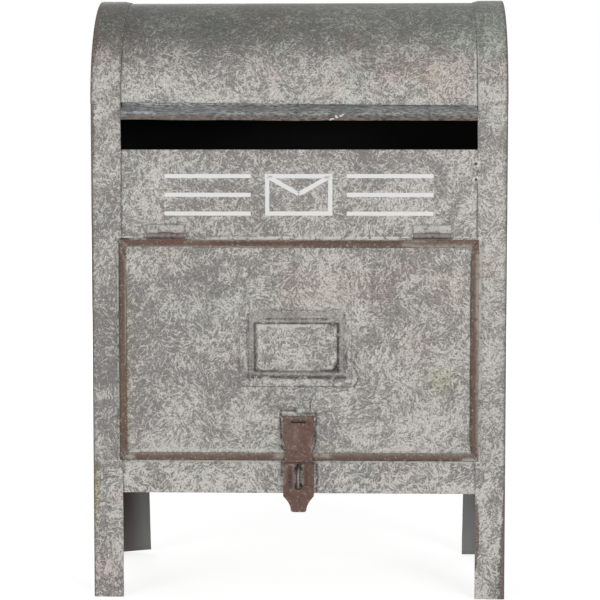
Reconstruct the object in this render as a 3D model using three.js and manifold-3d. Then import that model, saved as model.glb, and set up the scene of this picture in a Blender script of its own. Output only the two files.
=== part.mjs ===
// Wall mounted letter box of folded sheet metal: a boxy body on four corner angles, a half barrel
// roof with a hooded letter slot, and a door that hangs from two hinges and locks with a hasp.
// Units are millimetres, +Z is up and the front looks along -Y. The origin lies on the ground,
// under the middle of the outer box.

import * as THREE from 'three';
import { mergeVertices } from 'three/addons/utils/BufferGeometryUtils.js';
import Module from 'manifold-3d';

// ---------------------------------------------------------------- driving dimensions

// Body
const bodyWidth = 260;
const archRadius = 68;
const springHeight = 312;
const bodyBottom = 67;
const sheet = 1.0;
const lap = 0.3;

// Corner angles and arch strips
const stripSheet = 1.0;
const stripWidth = 19;
const bendRadius = 1.6;

// Folded edges of the panels
const trayFlange = 12;
const bottomFlange = 10;
const floorLip = 9;

// Letter slot and its hood, measured down from the spring line of the roof
const slotDrop = 28.6;
const slotSideCover = 0.5;
const hoodTuckHeight = 10;
const hoodShoulderDrop = 1.4;
const hoodBrowDrop = 6.4;
const hoodLipDrop = 10.8;
const hoodReach = 8.5;

// Keyholes in the back panel
const keyholeSpacing = 140;
const keyholeDrop = 44;
const keyholeHeadRadius = 4.5;
const keyholeSlotRadius = 2.5;
const keyholeTravel = 9;

// Door
const doorStripCover = 1.5;
const doorHeight = 139;
const doorBottom = 88.5;
const openingLap = 10;
const openingCorner = 4;
const railWidth = 4.5;
const railWall = 0.7;

// Door hinges
const hingeInset = 29.2;
const hingeWidth = 24;
const hingeSheet = 0.8;
const hingeKnuckleRadius = 1.6;
const hingePinRadius = 0.85;
const hingeFrameLeaf = 7;
const hingeDoorLeaf = 14;

// Card holder
const holderOffset = -2;
const holderWidth = 70;
const holderHeight = 48;
const holderBottom = 135.2;
const holderSheet = 0.8;
const holderCorner = 1.5;
const cardFrameOffset = 0.7;
const cardFrameWidth = 59.4;
const cardFrameHeight = 40.3;
const cardFrameRise = 6.9;
const cardFrameDepth = 1.6;
const cardWindowWidth = 52.4;
const cardWindowHeight = 30;
const cardWindowRise = 3;
const cardSlitWidth = 37;
const cardSlitHeight = 0.9;
const cardSlitDrop = 4.8;

// Hasp
const haspRise = 26.5;
const haspWidth = 19.8;
const haspKnuckleRadius = 2.05;
const haspMiddleKnuckle = 8.6;
const haspPinRadius = 0.85;
const haspLeafSheet = 1.0;
const haspLeafLength = 16;
const strapSheet = 1.2;
const strapShoulder = 11;
const strapWaistRise = 6.5;
const strapWaistWidth = 15.8;
const strapPlateDrop = 2;
const strapPlateWidth = 19.6;
const strapTaperDrop = 12.2;
const strapTipDrop = 22.4;
const strapTipWidth = 10.2;
const strapTipCorner = 2.2;
const strapSetBack = 4.4;
const joggleRise = 0.2;
const joggleHeight = 2.4;

// Staple, below the door's bottom edge
const stapleDrop = 10.6;
const stapleSpan = 11;
const stapleWireRadius = 1.1;
const stapleReach = 13;
const slotEndPlay = 1.6;
const slotSidePlay = 1.4;
const slotCorner = 1.6;

// Clearances and facets
const pinClearance = 0.3;
const pinHeadRadius = 1.35;
const pinHeadLength = 0.5;
const cutOverrun = 1;
const arcSteps = 24;
const knuckleSides = 24;
const smallSteps = 6;

// ---------------------------------------------------------------- sizes that follow

const bodyDepth = 2 * archRadius;
const halfWidth = bodyWidth / 2;

// Layers from the outside in: strip, panel, tray.
const panelOffset = stripSheet + lap;
const trayOffset = panelOffset + sheet + lap;
const floorOffset = trayOffset + sheet + lap;
const panelHalfWidth = halfWidth - stripSheet - lap;
const slotSill = springHeight - slotDrop;
const slotHalfWidth = halfWidth - stripWidth + slotSideCover;
const hoodHalfWidth = halfWidth - stripWidth - lap;

const doorWidth = 2 * (halfWidth - stripWidth + doorStripCover);
const doorTop = doorBottom + doorHeight;
const doorRear = -lap;
const railDepth = 2 * railWall + sheet + 2 * lap;
const doorSheetRear = doorRear - railWall - lap;
const doorFace = doorSheetRear - sheet;

// The back of a hinge leaf lies half a sheet behind its knuckles.
const hingeSetBack = hingeKnuckleRadius + hingeSheet / 2;
const hingeAxisY = panelOffset - lap - hingeSetBack;
const hingeAxisZ = doorTop + lap + hingeSetBack;

// Heights along the strap, from the hasp's axis, which lies above the door's bottom edge.
const stapleHeight = doorBottom - stapleDrop;
const haspAxisY = doorFace - lap - haspKnuckleRadius;
const haspAxisZ = doorBottom + haspRise;
const stapleLevel = stapleHeight - haspAxisZ;
const waistLevel = strapWaistRise - haspRise;
const plateLevel = -haspRise - strapPlateDrop;
const taperLevel = stapleLevel - strapTaperDrop;
const tipLevel = stapleLevel - strapTipDrop;
const joggleTop = joggleRise - haspRise;
const joggleFoot = joggleTop - joggleHeight;
const slotHalfHeight = stapleSpan / 2 + stapleWireRadius + slotEndPlay;
const slotHalfSpan = stapleWireRadius + slotSidePlay;
const originY = (bodyDepth - stapleReach) / 2;

// ---------------------------------------------------------------- materials

const zinc = () => new THREE.MeshStandardMaterial({ color: 0x97948f, roughness: 0.55, metalness: 0.5 });
const trim = () => new THREE.MeshStandardMaterial({ color: 0x5a4a42, roughness: 0.6, metalness: 0.4 });
const steel = () => new THREE.MeshStandardMaterial({ color: 0xb9b6b0, roughness: 0.35, metalness: 0.9 });

// ---------------------------------------------------------------- joining and cutting

const wasm = await Module();
wasm.setup();

function toSolid(geometry) {
  const bare = geometry.clone();
  bare.deleteAttribute('normal');
  bare.deleteAttribute('uv');
  const merged = mergeVertices(bare);
  return new wasm.Manifold(new wasm.Mesh({
    numProp: 3,
    vertProperties: merged.getAttribute('position').array,
    triVerts: Uint32Array.from(merged.getIndex().array),
  }));
}

function toGeometry(solid) {
  const mesh = solid.getMesh();
  const geometry = new THREE.BufferGeometry();
  geometry.setAttribute('position', new THREE.BufferAttribute(mesh.vertProperties, 3));
  geometry.setIndex(new THREE.BufferAttribute(mesh.triVerts, 1));
  geometry.computeVertexNormals();
  return geometry;
}

const join = (...parts) => parts.map(toSolid).reduce((whole, part) => whole.add(part));
const cut = (body, ...tools) => tools.map(toSolid).reduce((left, tool) => left.subtract(tool), body);

// ---------------------------------------------------------------- outlines and extrusions

function rectangle(left, bottom, right, top) {
  const shape = new THREE.Shape();
  shape.moveTo(left, bottom);
  shape.lineTo(right, bottom);
  shape.lineTo(right, top);
  shape.lineTo(left, top);
  shape.closePath();
  return shape;
}

function roundedRectangle(left, bottom, right, top, radius) {
  const shape = new THREE.Shape();
  shape.absarc(right - radius, bottom + radius, radius, -Math.PI / 2, 0);
  shape.absarc(right - radius, top - radius, radius, 0, Math.PI / 2);
  shape.absarc(left + radius, top - radius, radius, Math.PI / 2, Math.PI);
  shape.absarc(left + radius, bottom + radius, radius, Math.PI, Math.PI * 1.5);
  shape.closePath();
  return shape;
}

function disc(x, y, radius) {
  const shape = new THREE.Shape();
  shape.absarc(x, y, radius, 0, Math.PI * 2);
  return shape;
}

// A strip of sheet bent along a line: the line is its middle, and the bends are mitred.
function bentStrip(line, thickness) {
  const points = line.map(([x, y]) => new THREE.Vector2(x, y));
  const normals = points.slice(1).map((point, i) => {
    const run = point.clone().sub(points[i]).normalize();
    return new THREE.Vector2(-run.y, run.x);
  });
  const offsets = points.map((point, i) => {
    const before = normals[Math.max(i - 1, 0)];
    const after = normals[Math.min(i, normals.length - 1)];
    const mitre = before.clone().add(after).normalize();
    return mitre.multiplyScalar(thickness / 2 / mitre.dot(after));
  });
  const upper = points.map((point, i) => point.clone().add(offsets[i]));
  const lower = points.map((point, i) => point.clone().sub(offsets[i]));
  return new THREE.Shape([...upper, ...lower.reverse()]);
}

function extrude(shape, length, steps) {
  return new THREE.ExtrudeGeometry(shape, { depth: length, bevelEnabled: false, curveSegments: steps });
}

// The outline is drawn in X and Y.
function extrudeZ(shape, from, to, steps = smallSteps) {
  return extrude(shape, to - from, steps).translate(0, 0, from);
}

// The outline is drawn in X and Z.
function extrudeY(shape, from, to, steps = smallSteps) {
  return extrude(shape, to - from, steps).rotateX(Math.PI / 2).translate(0, to, 0);
}

// The outline is drawn in Y and Z.
function extrudeX(shape, from, to, steps = smallSteps) {
  const turn = new THREE.Matrix4().makeBasis(
    new THREE.Vector3(0, 1, 0),
    new THREE.Vector3(0, 0, 1),
    new THREE.Vector3(1, 0, 0),
  );
  return extrude(shape, to - from, steps).applyMatrix4(turn).translate(from, 0, 0);
}

function named(name, geometry, material) {
  const mesh = new THREE.Mesh(geometry, material);
  mesh.name = name;
  return mesh;
}

// ---------------------------------------------------------------- corner angles and arch strips

// One leg and corner post: an angle with a round bend. It is drawn for the front left corner and
// then turned to the corner on the given sides.
function cornerAngle(sideX, sideY) {
  const inner = bendRadius - stripSheet;
  const shape = new THREE.Shape();
  shape.moveTo(stripWidth, 0);
  shape.lineTo(stripWidth, stripSheet);
  shape.lineTo(stripSheet + inner, stripSheet);
  shape.absarc(bendRadius, bendRadius, inner, Math.PI * 1.5, Math.PI, true);
  shape.lineTo(stripSheet, stripWidth);
  shape.lineTo(0, stripWidth);
  shape.absarc(bendRadius, bendRadius, bendRadius, Math.PI, Math.PI * 1.5);
  shape.closePath();
  const turn = Math.atan2(sideY, sideX) - Math.atan2(-1, -1);
  return extrudeZ(shape, 0, springHeight - lap).rotateZ(turn);
}

function makeLegs() {
  const group = new THREE.Group();
  for (const [depthName, sideY] of [['front', -1], ['rear', 1]]) {
    for (const [sideName, sideX] of [['left', -1], ['right', 1]]) {
      const leg = named(`${depthName}_${sideName}_leg`, cornerAngle(sideX, sideY), zinc());
      leg.position.set(sideX * halfWidth, sideY < 0 ? 0 : bodyDepth, 0);
      group.add(leg);
    }
  }
  return group;
}

// A half ring in Y and Z, from the front spring line over the top to the rear one.
function halfRing(outer, inner) {
  const shape = new THREE.Shape();
  shape.absarc(archRadius, springHeight, outer, 0, Math.PI);
  shape.absarc(archRadius, springHeight, inner, Math.PI, 0, true);
  shape.closePath();
  return shape;
}

function makeArchStrips() {
  const group = new THREE.Group();
  for (const [sideName, side] of [['left', -1], ['right', 1]]) {
    const ring = halfRing(archRadius, archRadius - stripSheet);
    const strip = named(`${sideName}_arch_strip`, extrudeX(ring, 0, stripWidth, arcSteps), zinc());
    strip.position.x = side < 0 ? -halfWidth : halfWidth - stripWidth;
    group.add(strip);
  }
  return group;
}

// ---------------------------------------------------------------- body panels

function archOutline(radius, bottom) {
  const shape = new THREE.Shape();
  shape.moveTo(archRadius + radius, bottom);
  shape.lineTo(archRadius + radius, springHeight);
  shape.absarc(archRadius, springHeight, radius, 0, Math.PI);
  shape.lineTo(archRadius - radius, bottom);
  shape.closePath();
  return shape;
}

// A flat side with its whole edge folded inwards.
function makeSidePanels() {
  const group = new THREE.Group();
  const radius = archRadius - trayOffset;
  for (const [sideName, side] of [['left', -1], ['right', 1]]) {
    const block = extrudeX(archOutline(radius, bodyBottom), 0, trayFlange, arcSteps);
    const hollow = extrudeX(
      archOutline(radius - sheet, bodyBottom + sheet),
      side < 0 ? sheet : -cutOverrun,
      side < 0 ? trayFlange + cutOverrun : trayFlange - sheet,
      arcSteps,
    );
    const panel = named(`${sideName}_side_panel`, toGeometry(cut(toSolid(block), hollow)), zinc());
    panel.position.x = side < 0 ? -panelHalfWidth : panelHalfWidth - trayFlange;
    group.add(panel);
  }
  return group;
}

// The bottom edge of the front or the back, folded inwards between the two sides.
function bottomReturn(front) {
  const reach = panelHalfWidth - trayFlange - lap;
  const outline = rectangle(-reach, bodyBottom, reach, bodyBottom + sheet);
  return extrudeY(outline, front, front + bottomFlange);
}

// The front has the door opening, the staple's two holes and a cut at its top for the letter slot.
function makeFrontPanel() {
  const top = springHeight - lap;
  const outline = new THREE.Shape();
  outline.moveTo(-panelHalfWidth, bodyBottom);
  outline.lineTo(panelHalfWidth, bodyBottom);
  outline.lineTo(panelHalfWidth, top);
  outline.lineTo(slotHalfWidth, top);
  outline.lineTo(slotHalfWidth, slotSill);
  outline.lineTo(-slotHalfWidth, slotSill);
  outline.lineTo(-slotHalfWidth, top);
  outline.lineTo(-panelHalfWidth, top);
  outline.closePath();
  const halfOpening = doorWidth / 2 - openingLap;
  const opening = roundedRectangle(
    -halfOpening,
    doorBottom + openingLap,
    halfOpening,
    doorTop - openingLap,
    openingCorner,
  );
  const stapleHoles = [-1, 1].map((end) => disc(
    0,
    stapleHeight + end * stapleSpan / 2,
    stapleWireRadius + lap,
  ));
  const rear = panelOffset + sheet;
  const tools = [opening, ...stapleHoles].map((hole) => extrudeY(hole, -cutOverrun, rear + cutOverrun));
  const face = cut(toSolid(extrudeY(outline, panelOffset, rear)), ...tools);
  return named('front_panel', toGeometry(face.add(toSolid(bottomReturn(panelOffset)))), zinc());
}

function keyhole(x) {
  const shape = new THREE.Shape();
  const meet = Math.acos(keyholeSlotRadius / keyholeHeadRadius);
  const height = springHeight - keyholeDrop;
  shape.absarc(x, height + keyholeTravel, keyholeSlotRadius, 0, Math.PI);
  shape.absarc(x, height, keyholeHeadRadius, Math.PI - meet, Math.PI * 2 + meet);
  shape.closePath();
  return shape;
}

function makeBackPanel() {
  const outline = rectangle(-panelHalfWidth, bodyBottom, panelHalfWidth, springHeight - lap);
  outline.holes.push(keyhole(-keyholeSpacing / 2), keyhole(keyholeSpacing / 2));
  const rear = bodyDepth - panelOffset;
  const face = extrudeY(outline, rear - sheet, rear);
  return named('back_panel', toGeometry(join(face, bottomReturn(rear - bottomFlange))), zinc());
}

// The floor lies on the folded bottom edges of the panels and turns up at the front and the back.
function makeFloor() {
  const half = sheet / 2;
  const level = bodyBottom + sheet + lap + half;
  const front = floorOffset + half;
  const back = bodyDepth - floorOffset - half;
  const profile = bentStrip(
    [[front, level + floorLip - half], [front, level], [back, level], [back, level + floorLip - half]],
    sheet,
  );
  const reach = panelHalfWidth - sheet - lap;
  return named('floor_panel', extrudeX(profile, -reach, reach), zinc());
}

function makeRoof() {
  const ring = halfRing(archRadius - panelOffset, archRadius - panelOffset - sheet);
  return named('roof_barrel', extrudeX(ring, -panelHalfWidth, panelHalfWidth, arcSteps), zinc());
}

// The hood is tucked behind the front edge of the barrel, slopes out over the slot and ends in a lip.
function makeSlotHood() {
  const radius = archRadius - trayOffset - sheet / 2;
  const tuckAngle = Math.asin(hoodTuckHeight / radius);
  const tuck = [1, 0.5, 0].map((share) => [
    archRadius - radius * Math.cos(tuckAngle * share),
    springHeight + radius * Math.sin(tuckAngle * share),
  ]);
  const lip = sheet / 2 - hoodReach;
  const line = [
    ...tuck,
    [archRadius - radius, springHeight - hoodShoulderDrop],
    [lip, springHeight - hoodBrowDrop],
    [lip, springHeight - hoodLipDrop],
  ];
  return named('slot_hood', extrudeX(bentStrip(line, sheet), -hoodHalfWidth, hoodHalfWidth), trim());
}

// ---------------------------------------------------------------- knuckles, leaves and pins

// Knuckles and pins are drawn round their own axis, which runs along X through the local origin.
function knuckle(radius, from, to) {
  return extrudeX(disc(0, 0, radius), from, to, knuckleSides / 2);
}

// A leaf lies at the back of its knuckles, and goes up or down from them.
function hingeLeaf({ radius, pin, back, thickness, width, length, spans, up }) {
  const sign = up ? 1 : -1;
  const neck = sign * (radius + lap);
  const plate = (from, to, start, end) => extrudeX(
    rectangle(back - thickness, Math.min(start, end), back, Math.max(start, end)),
    from,
    to,
  );
  const parts = [plate(-width / 2, width / 2, neck, sign * length)];
  for (const [from, to] of spans) {
    parts.push(knuckle(radius, from, to));
    parts.push(plate(from, to, 0, neck + sign * thickness / 2));
  }
  return toGeometry(cut(join(...parts), knuckle(pin + pinClearance, -width, width)));
}

// A pin with a small peened head at each end.
function pinGeometry(radius, width) {
  const end = width / 2 + lap;
  const profile = [
    [0, -end - pinHeadLength],
    [pinHeadRadius * 0.7, -end - pinHeadLength],
    [pinHeadRadius, -end - pinHeadLength / 2],
    [pinHeadRadius, -end],
    [radius, -end],
    [radius, end],
    [pinHeadRadius, end],
    [pinHeadRadius, end + pinHeadLength / 2],
    [pinHeadRadius * 0.7, end + pinHeadLength],
    [0, end + pinHeadLength],
  ].map(([x, y]) => new THREE.Vector2(x, y));
  return new THREE.LatheGeometry(profile, knuckleSides).rotateZ(Math.PI / 2);
}

// The middle knuckle is on one leaf, and the outer two are on the other.
function knuckleSpans(width, middle) {
  const inner = middle / 2;
  const outer = width / 2;
  return { middle: [[-inner, inner]], outer: [[-outer, -inner - lap], [inner + lap, outer]] };
}

// ---------------------------------------------------------------- door

// A channel that grips one edge of the door sheet, mitred at both ends, with its outer edge upwards.
function rimRail(length) {
  const rear = -railDepth / 2;
  const front = railDepth / 2;
  const profile = new THREE.Shape();
  profile.moveTo(rear, -railWidth);
  profile.lineTo(rear + railWall, -railWidth);
  profile.lineTo(rear + railWall, -railWall);
  profile.lineTo(front - railWall, -railWall);
  profile.lineTo(front - railWall, -railWidth);
  profile.lineTo(front, -railWidth);
  profile.lineTo(front, 0);
  profile.lineTo(rear, 0);
  profile.closePath();
  const half = length / 2 - lap / Math.SQRT2;
  const mitres = new THREE.Shape();
  mitres.moveTo(-half, 0);
  mitres.lineTo(-half + railWidth, -railWidth);
  mitres.lineTo(half - railWidth, -railWidth);
  mitres.lineTo(half, 0);
  mitres.closePath();
  const channel = toSolid(extrudeX(profile, -length / 2, length / 2));
  return toGeometry(channel.intersect(toSolid(extrudeY(mitres, -railDepth, railDepth))));
}

function makeDoor() {
  const door = new THREE.Group();
  const halfDoor = doorWidth / 2;
  const inset = railWall + lap;
  const outline = rectangle(-halfDoor + inset, doorBottom + inset, halfDoor - inset, doorTop - inset);
  door.add(named('door_panel', extrudeY(outline, doorFace, doorSheetRear), zinc()));

  const middleHeight = doorBottom + doorHeight / 2;
  const rails = [
    ['top', doorWidth, 0, 0, doorTop],
    ['right', doorHeight, Math.PI / 2, halfDoor, middleHeight],
    ['bottom', doorWidth, Math.PI, 0, doorBottom],
    ['left', doorHeight, -Math.PI / 2, -halfDoor, middleHeight],
  ];
  for (const [place, length, turn, x, z] of rails) {
    const rail = named(`door_rim_${place}`, rimRail(length), trim());
    rail.position.set(x, doorRear - railDepth / 2, z);
    rail.rotation.y = turn;
    door.add(rail);
  }
  return door;
}

function makeDoorHinges() {
  const group = new THREE.Group();
  const spans = knuckleSpans(hingeWidth, hingeWidth / 3);
  const common = {
    radius: hingeKnuckleRadius,
    pin: hingePinRadius,
    back: hingeSetBack,
    thickness: hingeSheet,
    width: hingeWidth,
  };
  for (const [sideName, side] of [['left', -1], ['right', 1]]) {
    const frameLeaf = hingeLeaf({ ...common, length: hingeFrameLeaf, spans: spans.outer, up: true });
    const doorLeaf = hingeLeaf({ ...common, length: hingeDoorLeaf, spans: spans.middle, up: false });
    const hinge = new THREE.Group();
    hinge.add(named(`${sideName}_hinge_frame_leaf`, frameLeaf, zinc()));
    hinge.add(named(`${sideName}_hinge_door_leaf`, doorLeaf, trim()));
    hinge.add(named(`${sideName}_hinge_pin`, pinGeometry(hingePinRadius, hingeWidth), steel()));
    hinge.position.set(side * (doorWidth / 2 - hingeInset), hingeAxisY, hingeAxisZ);
    group.add(hinge);
  }
  return group;
}

// ---------------------------------------------------------------- card holder

// A flat backing plate, and a pressed frame with a window, a shallow pocket and a slit for the card.
function makeCardHolder() {
  const holder = new THREE.Group();
  const plateFront = -holderSheet;
  const plateOutline = roundedRectangle(-holderWidth / 2, 0, holderWidth / 2, holderHeight, holderCorner);
  holder.add(named('card_holder_plate', extrudeY(plateOutline, plateFront, 0), zinc()));

  const half = cardFrameWidth / 2;
  const frameOutline = roundedRectangle(-half, 0, half, cardFrameHeight, holderCorner);
  const windowTop = cardWindowRise + cardWindowHeight;
  const window = rectangle(-cardWindowWidth / 2, cardWindowRise, cardWindowWidth / 2, windowTop);
  const slitTop = cardFrameHeight - cardSlitDrop + cardSlitHeight;
  const slit = rectangle(-cardSlitWidth / 2, slitTop - cardSlitHeight, cardSlitWidth / 2, slitTop);
  const pocket = rectangle(
    -half + holderSheet,
    holderSheet,
    half - holderSheet,
    cardFrameHeight - holderSheet,
  );
  const block = toSolid(extrudeY(frameOutline, -cardFrameDepth, 0));
  const frame = cut(
    block,
    extrudeY(pocket, holderSheet - cardFrameDepth, cutOverrun),
    extrudeY(window, -cardFrameDepth - cutOverrun, cutOverrun),
    extrudeY(slit, -cardFrameDepth - cutOverrun, cutOverrun),
  );
  const frameMesh = named('card_holder_frame', toGeometry(frame), zinc());
  frameMesh.position.set(cardFrameOffset, plateFront - lap, cardFrameRise);
  holder.add(frameMesh);
  holder.position.set(holderOffset, doorFace - lap, holderBottom);
  return holder;
}

// ---------------------------------------------------------------- hasp and staple

// The strap's face: a shoulder at the knuckles, a waist, a wider plate and a tip that draws in.
function strapOutline() {
  const shoulder = haspWidth / 2;
  const waist = strapWaistWidth / 2;
  const plate = strapPlateWidth / 2;
  const tip = strapTipWidth / 2;
  const bend = (waistLevel - strapShoulder) / 2;
  const half = new THREE.Path();
  half.moveTo(shoulder, haspKnuckleRadius);
  half.lineTo(shoulder, -strapShoulder);
  half.bezierCurveTo(shoulder, bend, waist, bend, waist, waistLevel);
  half.quadraticCurveTo(waist, (waistLevel + plateLevel) / 2, plate, plateLevel);
  half.lineTo(plate, taperLevel);
  half.quadraticCurveTo(tip, (taperLevel + tipLevel) / 2, tip, tipLevel + strapTipCorner);
  half.quadraticCurveTo(tip, tipLevel, tip - strapTipCorner, tipLevel);
  const right = half.getPoints(smallSteps);
  const left = right.map((point) => new THREE.Vector2(-point.x, point.y)).reverse();
  return new THREE.Shape([...right, ...left]);
}

// The strap hangs from the front of its knuckles, stands clear of the door's rim and then steps
// back towards the body, where the staple comes through its slot.
function strapGeometry(spans) {
  const front = strapSheet / 2 - haspKnuckleRadius;
  const back = front + strapSetBack;
  const bend = bentStrip(
    [[front, 0], [front, joggleTop], [back, joggleFoot], [back, tipLevel - cutOverrun]],
    strapSheet,
  );
  const face = extrudeY(strapOutline(), -haspWidth, haspWidth);
  const strap = toSolid(extrudeX(bend, -haspWidth, haspWidth)).intersect(toSolid(face));
  const rings = spans.outer.map(([from, to]) => toSolid(knuckle(haspKnuckleRadius, from, to)));
  const whole = rings.reduce((sum, ring) => sum.add(ring), strap);

  const gap = haspMiddleKnuckle / 2 + lap;
  const relief = rectangle(-gap, -haspKnuckleRadius - lap, gap, haspKnuckleRadius + cutOverrun);
  const slot = roundedRectangle(
    -slotHalfSpan,
    stapleLevel - slotHalfHeight,
    slotHalfSpan,
    stapleLevel + slotHalfHeight,
    slotCorner,
  );
  return toGeometry(cut(
    whole,
    knuckle(haspPinRadius + pinClearance, -haspWidth, haspWidth),
    extrudeY(relief, -haspWidth, haspWidth),
    extrudeY(slot, -haspWidth, haspWidth),
  ));
}

// The leaf on the door is no wider than the strap's waist, so the closed strap covers it.
function makeHasp() {
  const hasp = new THREE.Group();
  const spans = knuckleSpans(haspWidth, haspMiddleKnuckle);
  const leaf = hingeLeaf({
    radius: haspKnuckleRadius,
    pin: haspPinRadius,
    back: haspKnuckleRadius,
    thickness: haspLeafSheet,
    width: strapWaistWidth,
    length: haspLeafLength,
    spans: spans.middle,
    up: false,
  });
  hasp.add(named('hasp_leaf', leaf, trim()));
  hasp.add(named('hasp_strap', strapGeometry(spans), trim()));
  hasp.add(named('hasp_pin', pinGeometry(haspPinRadius, haspWidth), steel()));
  hasp.position.set(0, haspAxisY, haspAxisZ);
  return hasp;
}

// A wire loop, bent round in the Y-Z plane. Its two tails go through the front panel and end just
// before the floor's upturned lip.
function makeStaple() {
  const bend = stapleSpan / 2;
  const centre = stapleWireRadius + bend - stapleReach;
  const tail = floorOffset - lap;
  const turns = 12;
  const bow = Array.from({ length: turns + 1 }, (_, i) => {
    const angle = Math.PI / 2 + Math.PI * i / turns;
    return new THREE.Vector3(0, centre + bend * Math.cos(angle), bend * Math.sin(angle));
  });
  const path = new THREE.CurvePath();
  path.add(new THREE.LineCurve3(new THREE.Vector3(0, tail, bend), bow[0]));
  bow.slice(1).forEach((point, i) => path.add(new THREE.LineCurve3(bow[i], point)));
  path.add(new THREE.LineCurve3(bow[turns], new THREE.Vector3(0, tail, -bend)));
  const geometry = new THREE.ExtrudeGeometry(disc(0, 0, stapleWireRadius), {
    steps: 60,
    curveSegments: 6,
    extrudePath: path,
  });
  const staple = named('hasp_staple', geometry, steel());
  staple.position.z = stapleHeight;
  return staple;
}

// ---------------------------------------------------------------- assembly

const letterBox = new THREE.Group();
letterBox.add(
  makeLegs(),
  makeArchStrips(),
  makeSidePanels(),
  makeFrontPanel(),
  makeBackPanel(),
  makeFloor(),
  makeRoof(),
  makeSlotHood(),
  makeDoor(),
  makeDoorHinges(),
  makeCardHolder(),
  makeHasp(),
  makeStaple(),
);
letterBox.position.y = -originY;

export default letterBox;
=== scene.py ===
import math
from functools import cache, cached_property

import bmesh
import bpy
from bpy.props import FloatProperty, FloatVectorProperty, PointerProperty
from mathutils import Matrix, Vector, kdtree, noise


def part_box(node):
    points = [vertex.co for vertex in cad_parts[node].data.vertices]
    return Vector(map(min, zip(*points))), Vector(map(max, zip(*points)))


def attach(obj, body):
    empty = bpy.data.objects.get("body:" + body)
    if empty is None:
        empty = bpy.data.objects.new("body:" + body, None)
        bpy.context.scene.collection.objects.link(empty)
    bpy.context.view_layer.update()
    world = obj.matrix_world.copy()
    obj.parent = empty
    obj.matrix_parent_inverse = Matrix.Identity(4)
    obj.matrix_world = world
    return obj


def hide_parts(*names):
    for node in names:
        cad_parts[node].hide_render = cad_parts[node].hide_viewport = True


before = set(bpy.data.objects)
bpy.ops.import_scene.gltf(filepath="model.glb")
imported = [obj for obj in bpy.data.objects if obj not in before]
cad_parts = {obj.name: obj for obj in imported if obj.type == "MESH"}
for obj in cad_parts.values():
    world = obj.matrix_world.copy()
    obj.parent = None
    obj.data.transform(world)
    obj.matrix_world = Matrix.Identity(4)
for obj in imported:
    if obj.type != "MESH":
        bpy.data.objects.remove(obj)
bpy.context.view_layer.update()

bl_info = {
    "name": "Sheet metal letter box",
    "version": (1, 0, 0),
    "blender": (4, 5, 0),
    "location": "View3D > Sidebar > Letter Box",
    "description": "Finishes a zinc letter box with a barrel roof, hooded slot, door and hasp",
    "category": "Object",
}

MM = 0.001
X, Y, Z = range(3)
AXES = (Vector((1, 0, 0)), Vector((0, 1, 0)), Vector((0, 0, 1)))

# ---------------------------------------------------------------- sizes read from the frame

LEG_LOW, LEG_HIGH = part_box("front_left_leg")
STRIP_LOW, STRIP_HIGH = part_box("right_arch_strip")
ROOF_LOW, ROOF_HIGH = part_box("roof_barrel")
PANEL_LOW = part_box("front_panel")[0]
DOOR_LOW, DOOR_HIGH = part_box("door_panel")
RIM_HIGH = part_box("door_rim_top")[1]
PLATE_LOW, PLATE_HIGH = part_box("card_holder_plate")
STAPLE_LOW, STAPLE_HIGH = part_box("hasp_staple")

LEG_WIDTH = LEG_HIGH.x - LEG_LOW.x
FOOT = PANEL_LOW.z
SPRING = STRIP_LOW.z
HALF_WIDTH = STRIP_HIGH.x
SEAM = STRIP_LOW.x
ARCH_CENTRE = Vector((0, (STRIP_LOW.y + STRIP_HIGH.y) / 2, SPRING))
ARCH_RADIUS = (STRIP_HIGH.y - STRIP_LOW.y) / 2
DOOR_MIDDLE = (DOOR_LOW.z + DOOR_HIGH.z) / 2
CAVITY = Vector((0, ARCH_CENTRE.y, (FOOT + SPRING) / 2))
SEAM_MARK_TOP = 277 * MM

CUT_EDGE = (60, 181)  # degrees between the faces that meet at a cut edge
SHARP_ANGLE = math.radians(40)  # faces that meet at more than this aren't shaded as one
FACING = 0.7  # least part of a normal along an axis for the face to look that way


# ---------------------------------------------------------------- settings


def length(name, description, millimetres):
    return FloatProperty(name=name, description=description, default=millimetres * MM, unit="LENGTH")


def power(name, description, watts):
    return FloatProperty(name=name, description=description, default=watts, subtype="POWER")


def angle(name, description, degrees):
    return FloatProperty(name=name, description=description, default=math.radians(degrees), subtype="ANGLE")


def colour(name, description, *default):
    return FloatVectorProperty(name=name, description=description, subtype="COLOR", size=3, default=default)


class LetterBoxForm(bpy.types.PropertyGroup):
    """How the sheet metal is worked."""

    sheet: length("Sheet", "Thickness of the panels", 1.0)
    edge_round: length("Edge rounding", "Radius on cut edges", 0.22)
    fold_round: length("Fold rounding", "Radius on folds", 0.9)
    wave: length("Wave", "Height of the sheet's waviness", 0.12)
    wave_length: length("Wave length", "Spacing of the waves", 38)
    wobble: length("Edge wobble", "How far cut edges wander", 0.35)
    tilt: length("Roof tilt", "How far the roof's front edge drops at its right end", 1.3)
    press: length("Press", "How far edges are pressed onto the sheet below", 0.27)


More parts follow.
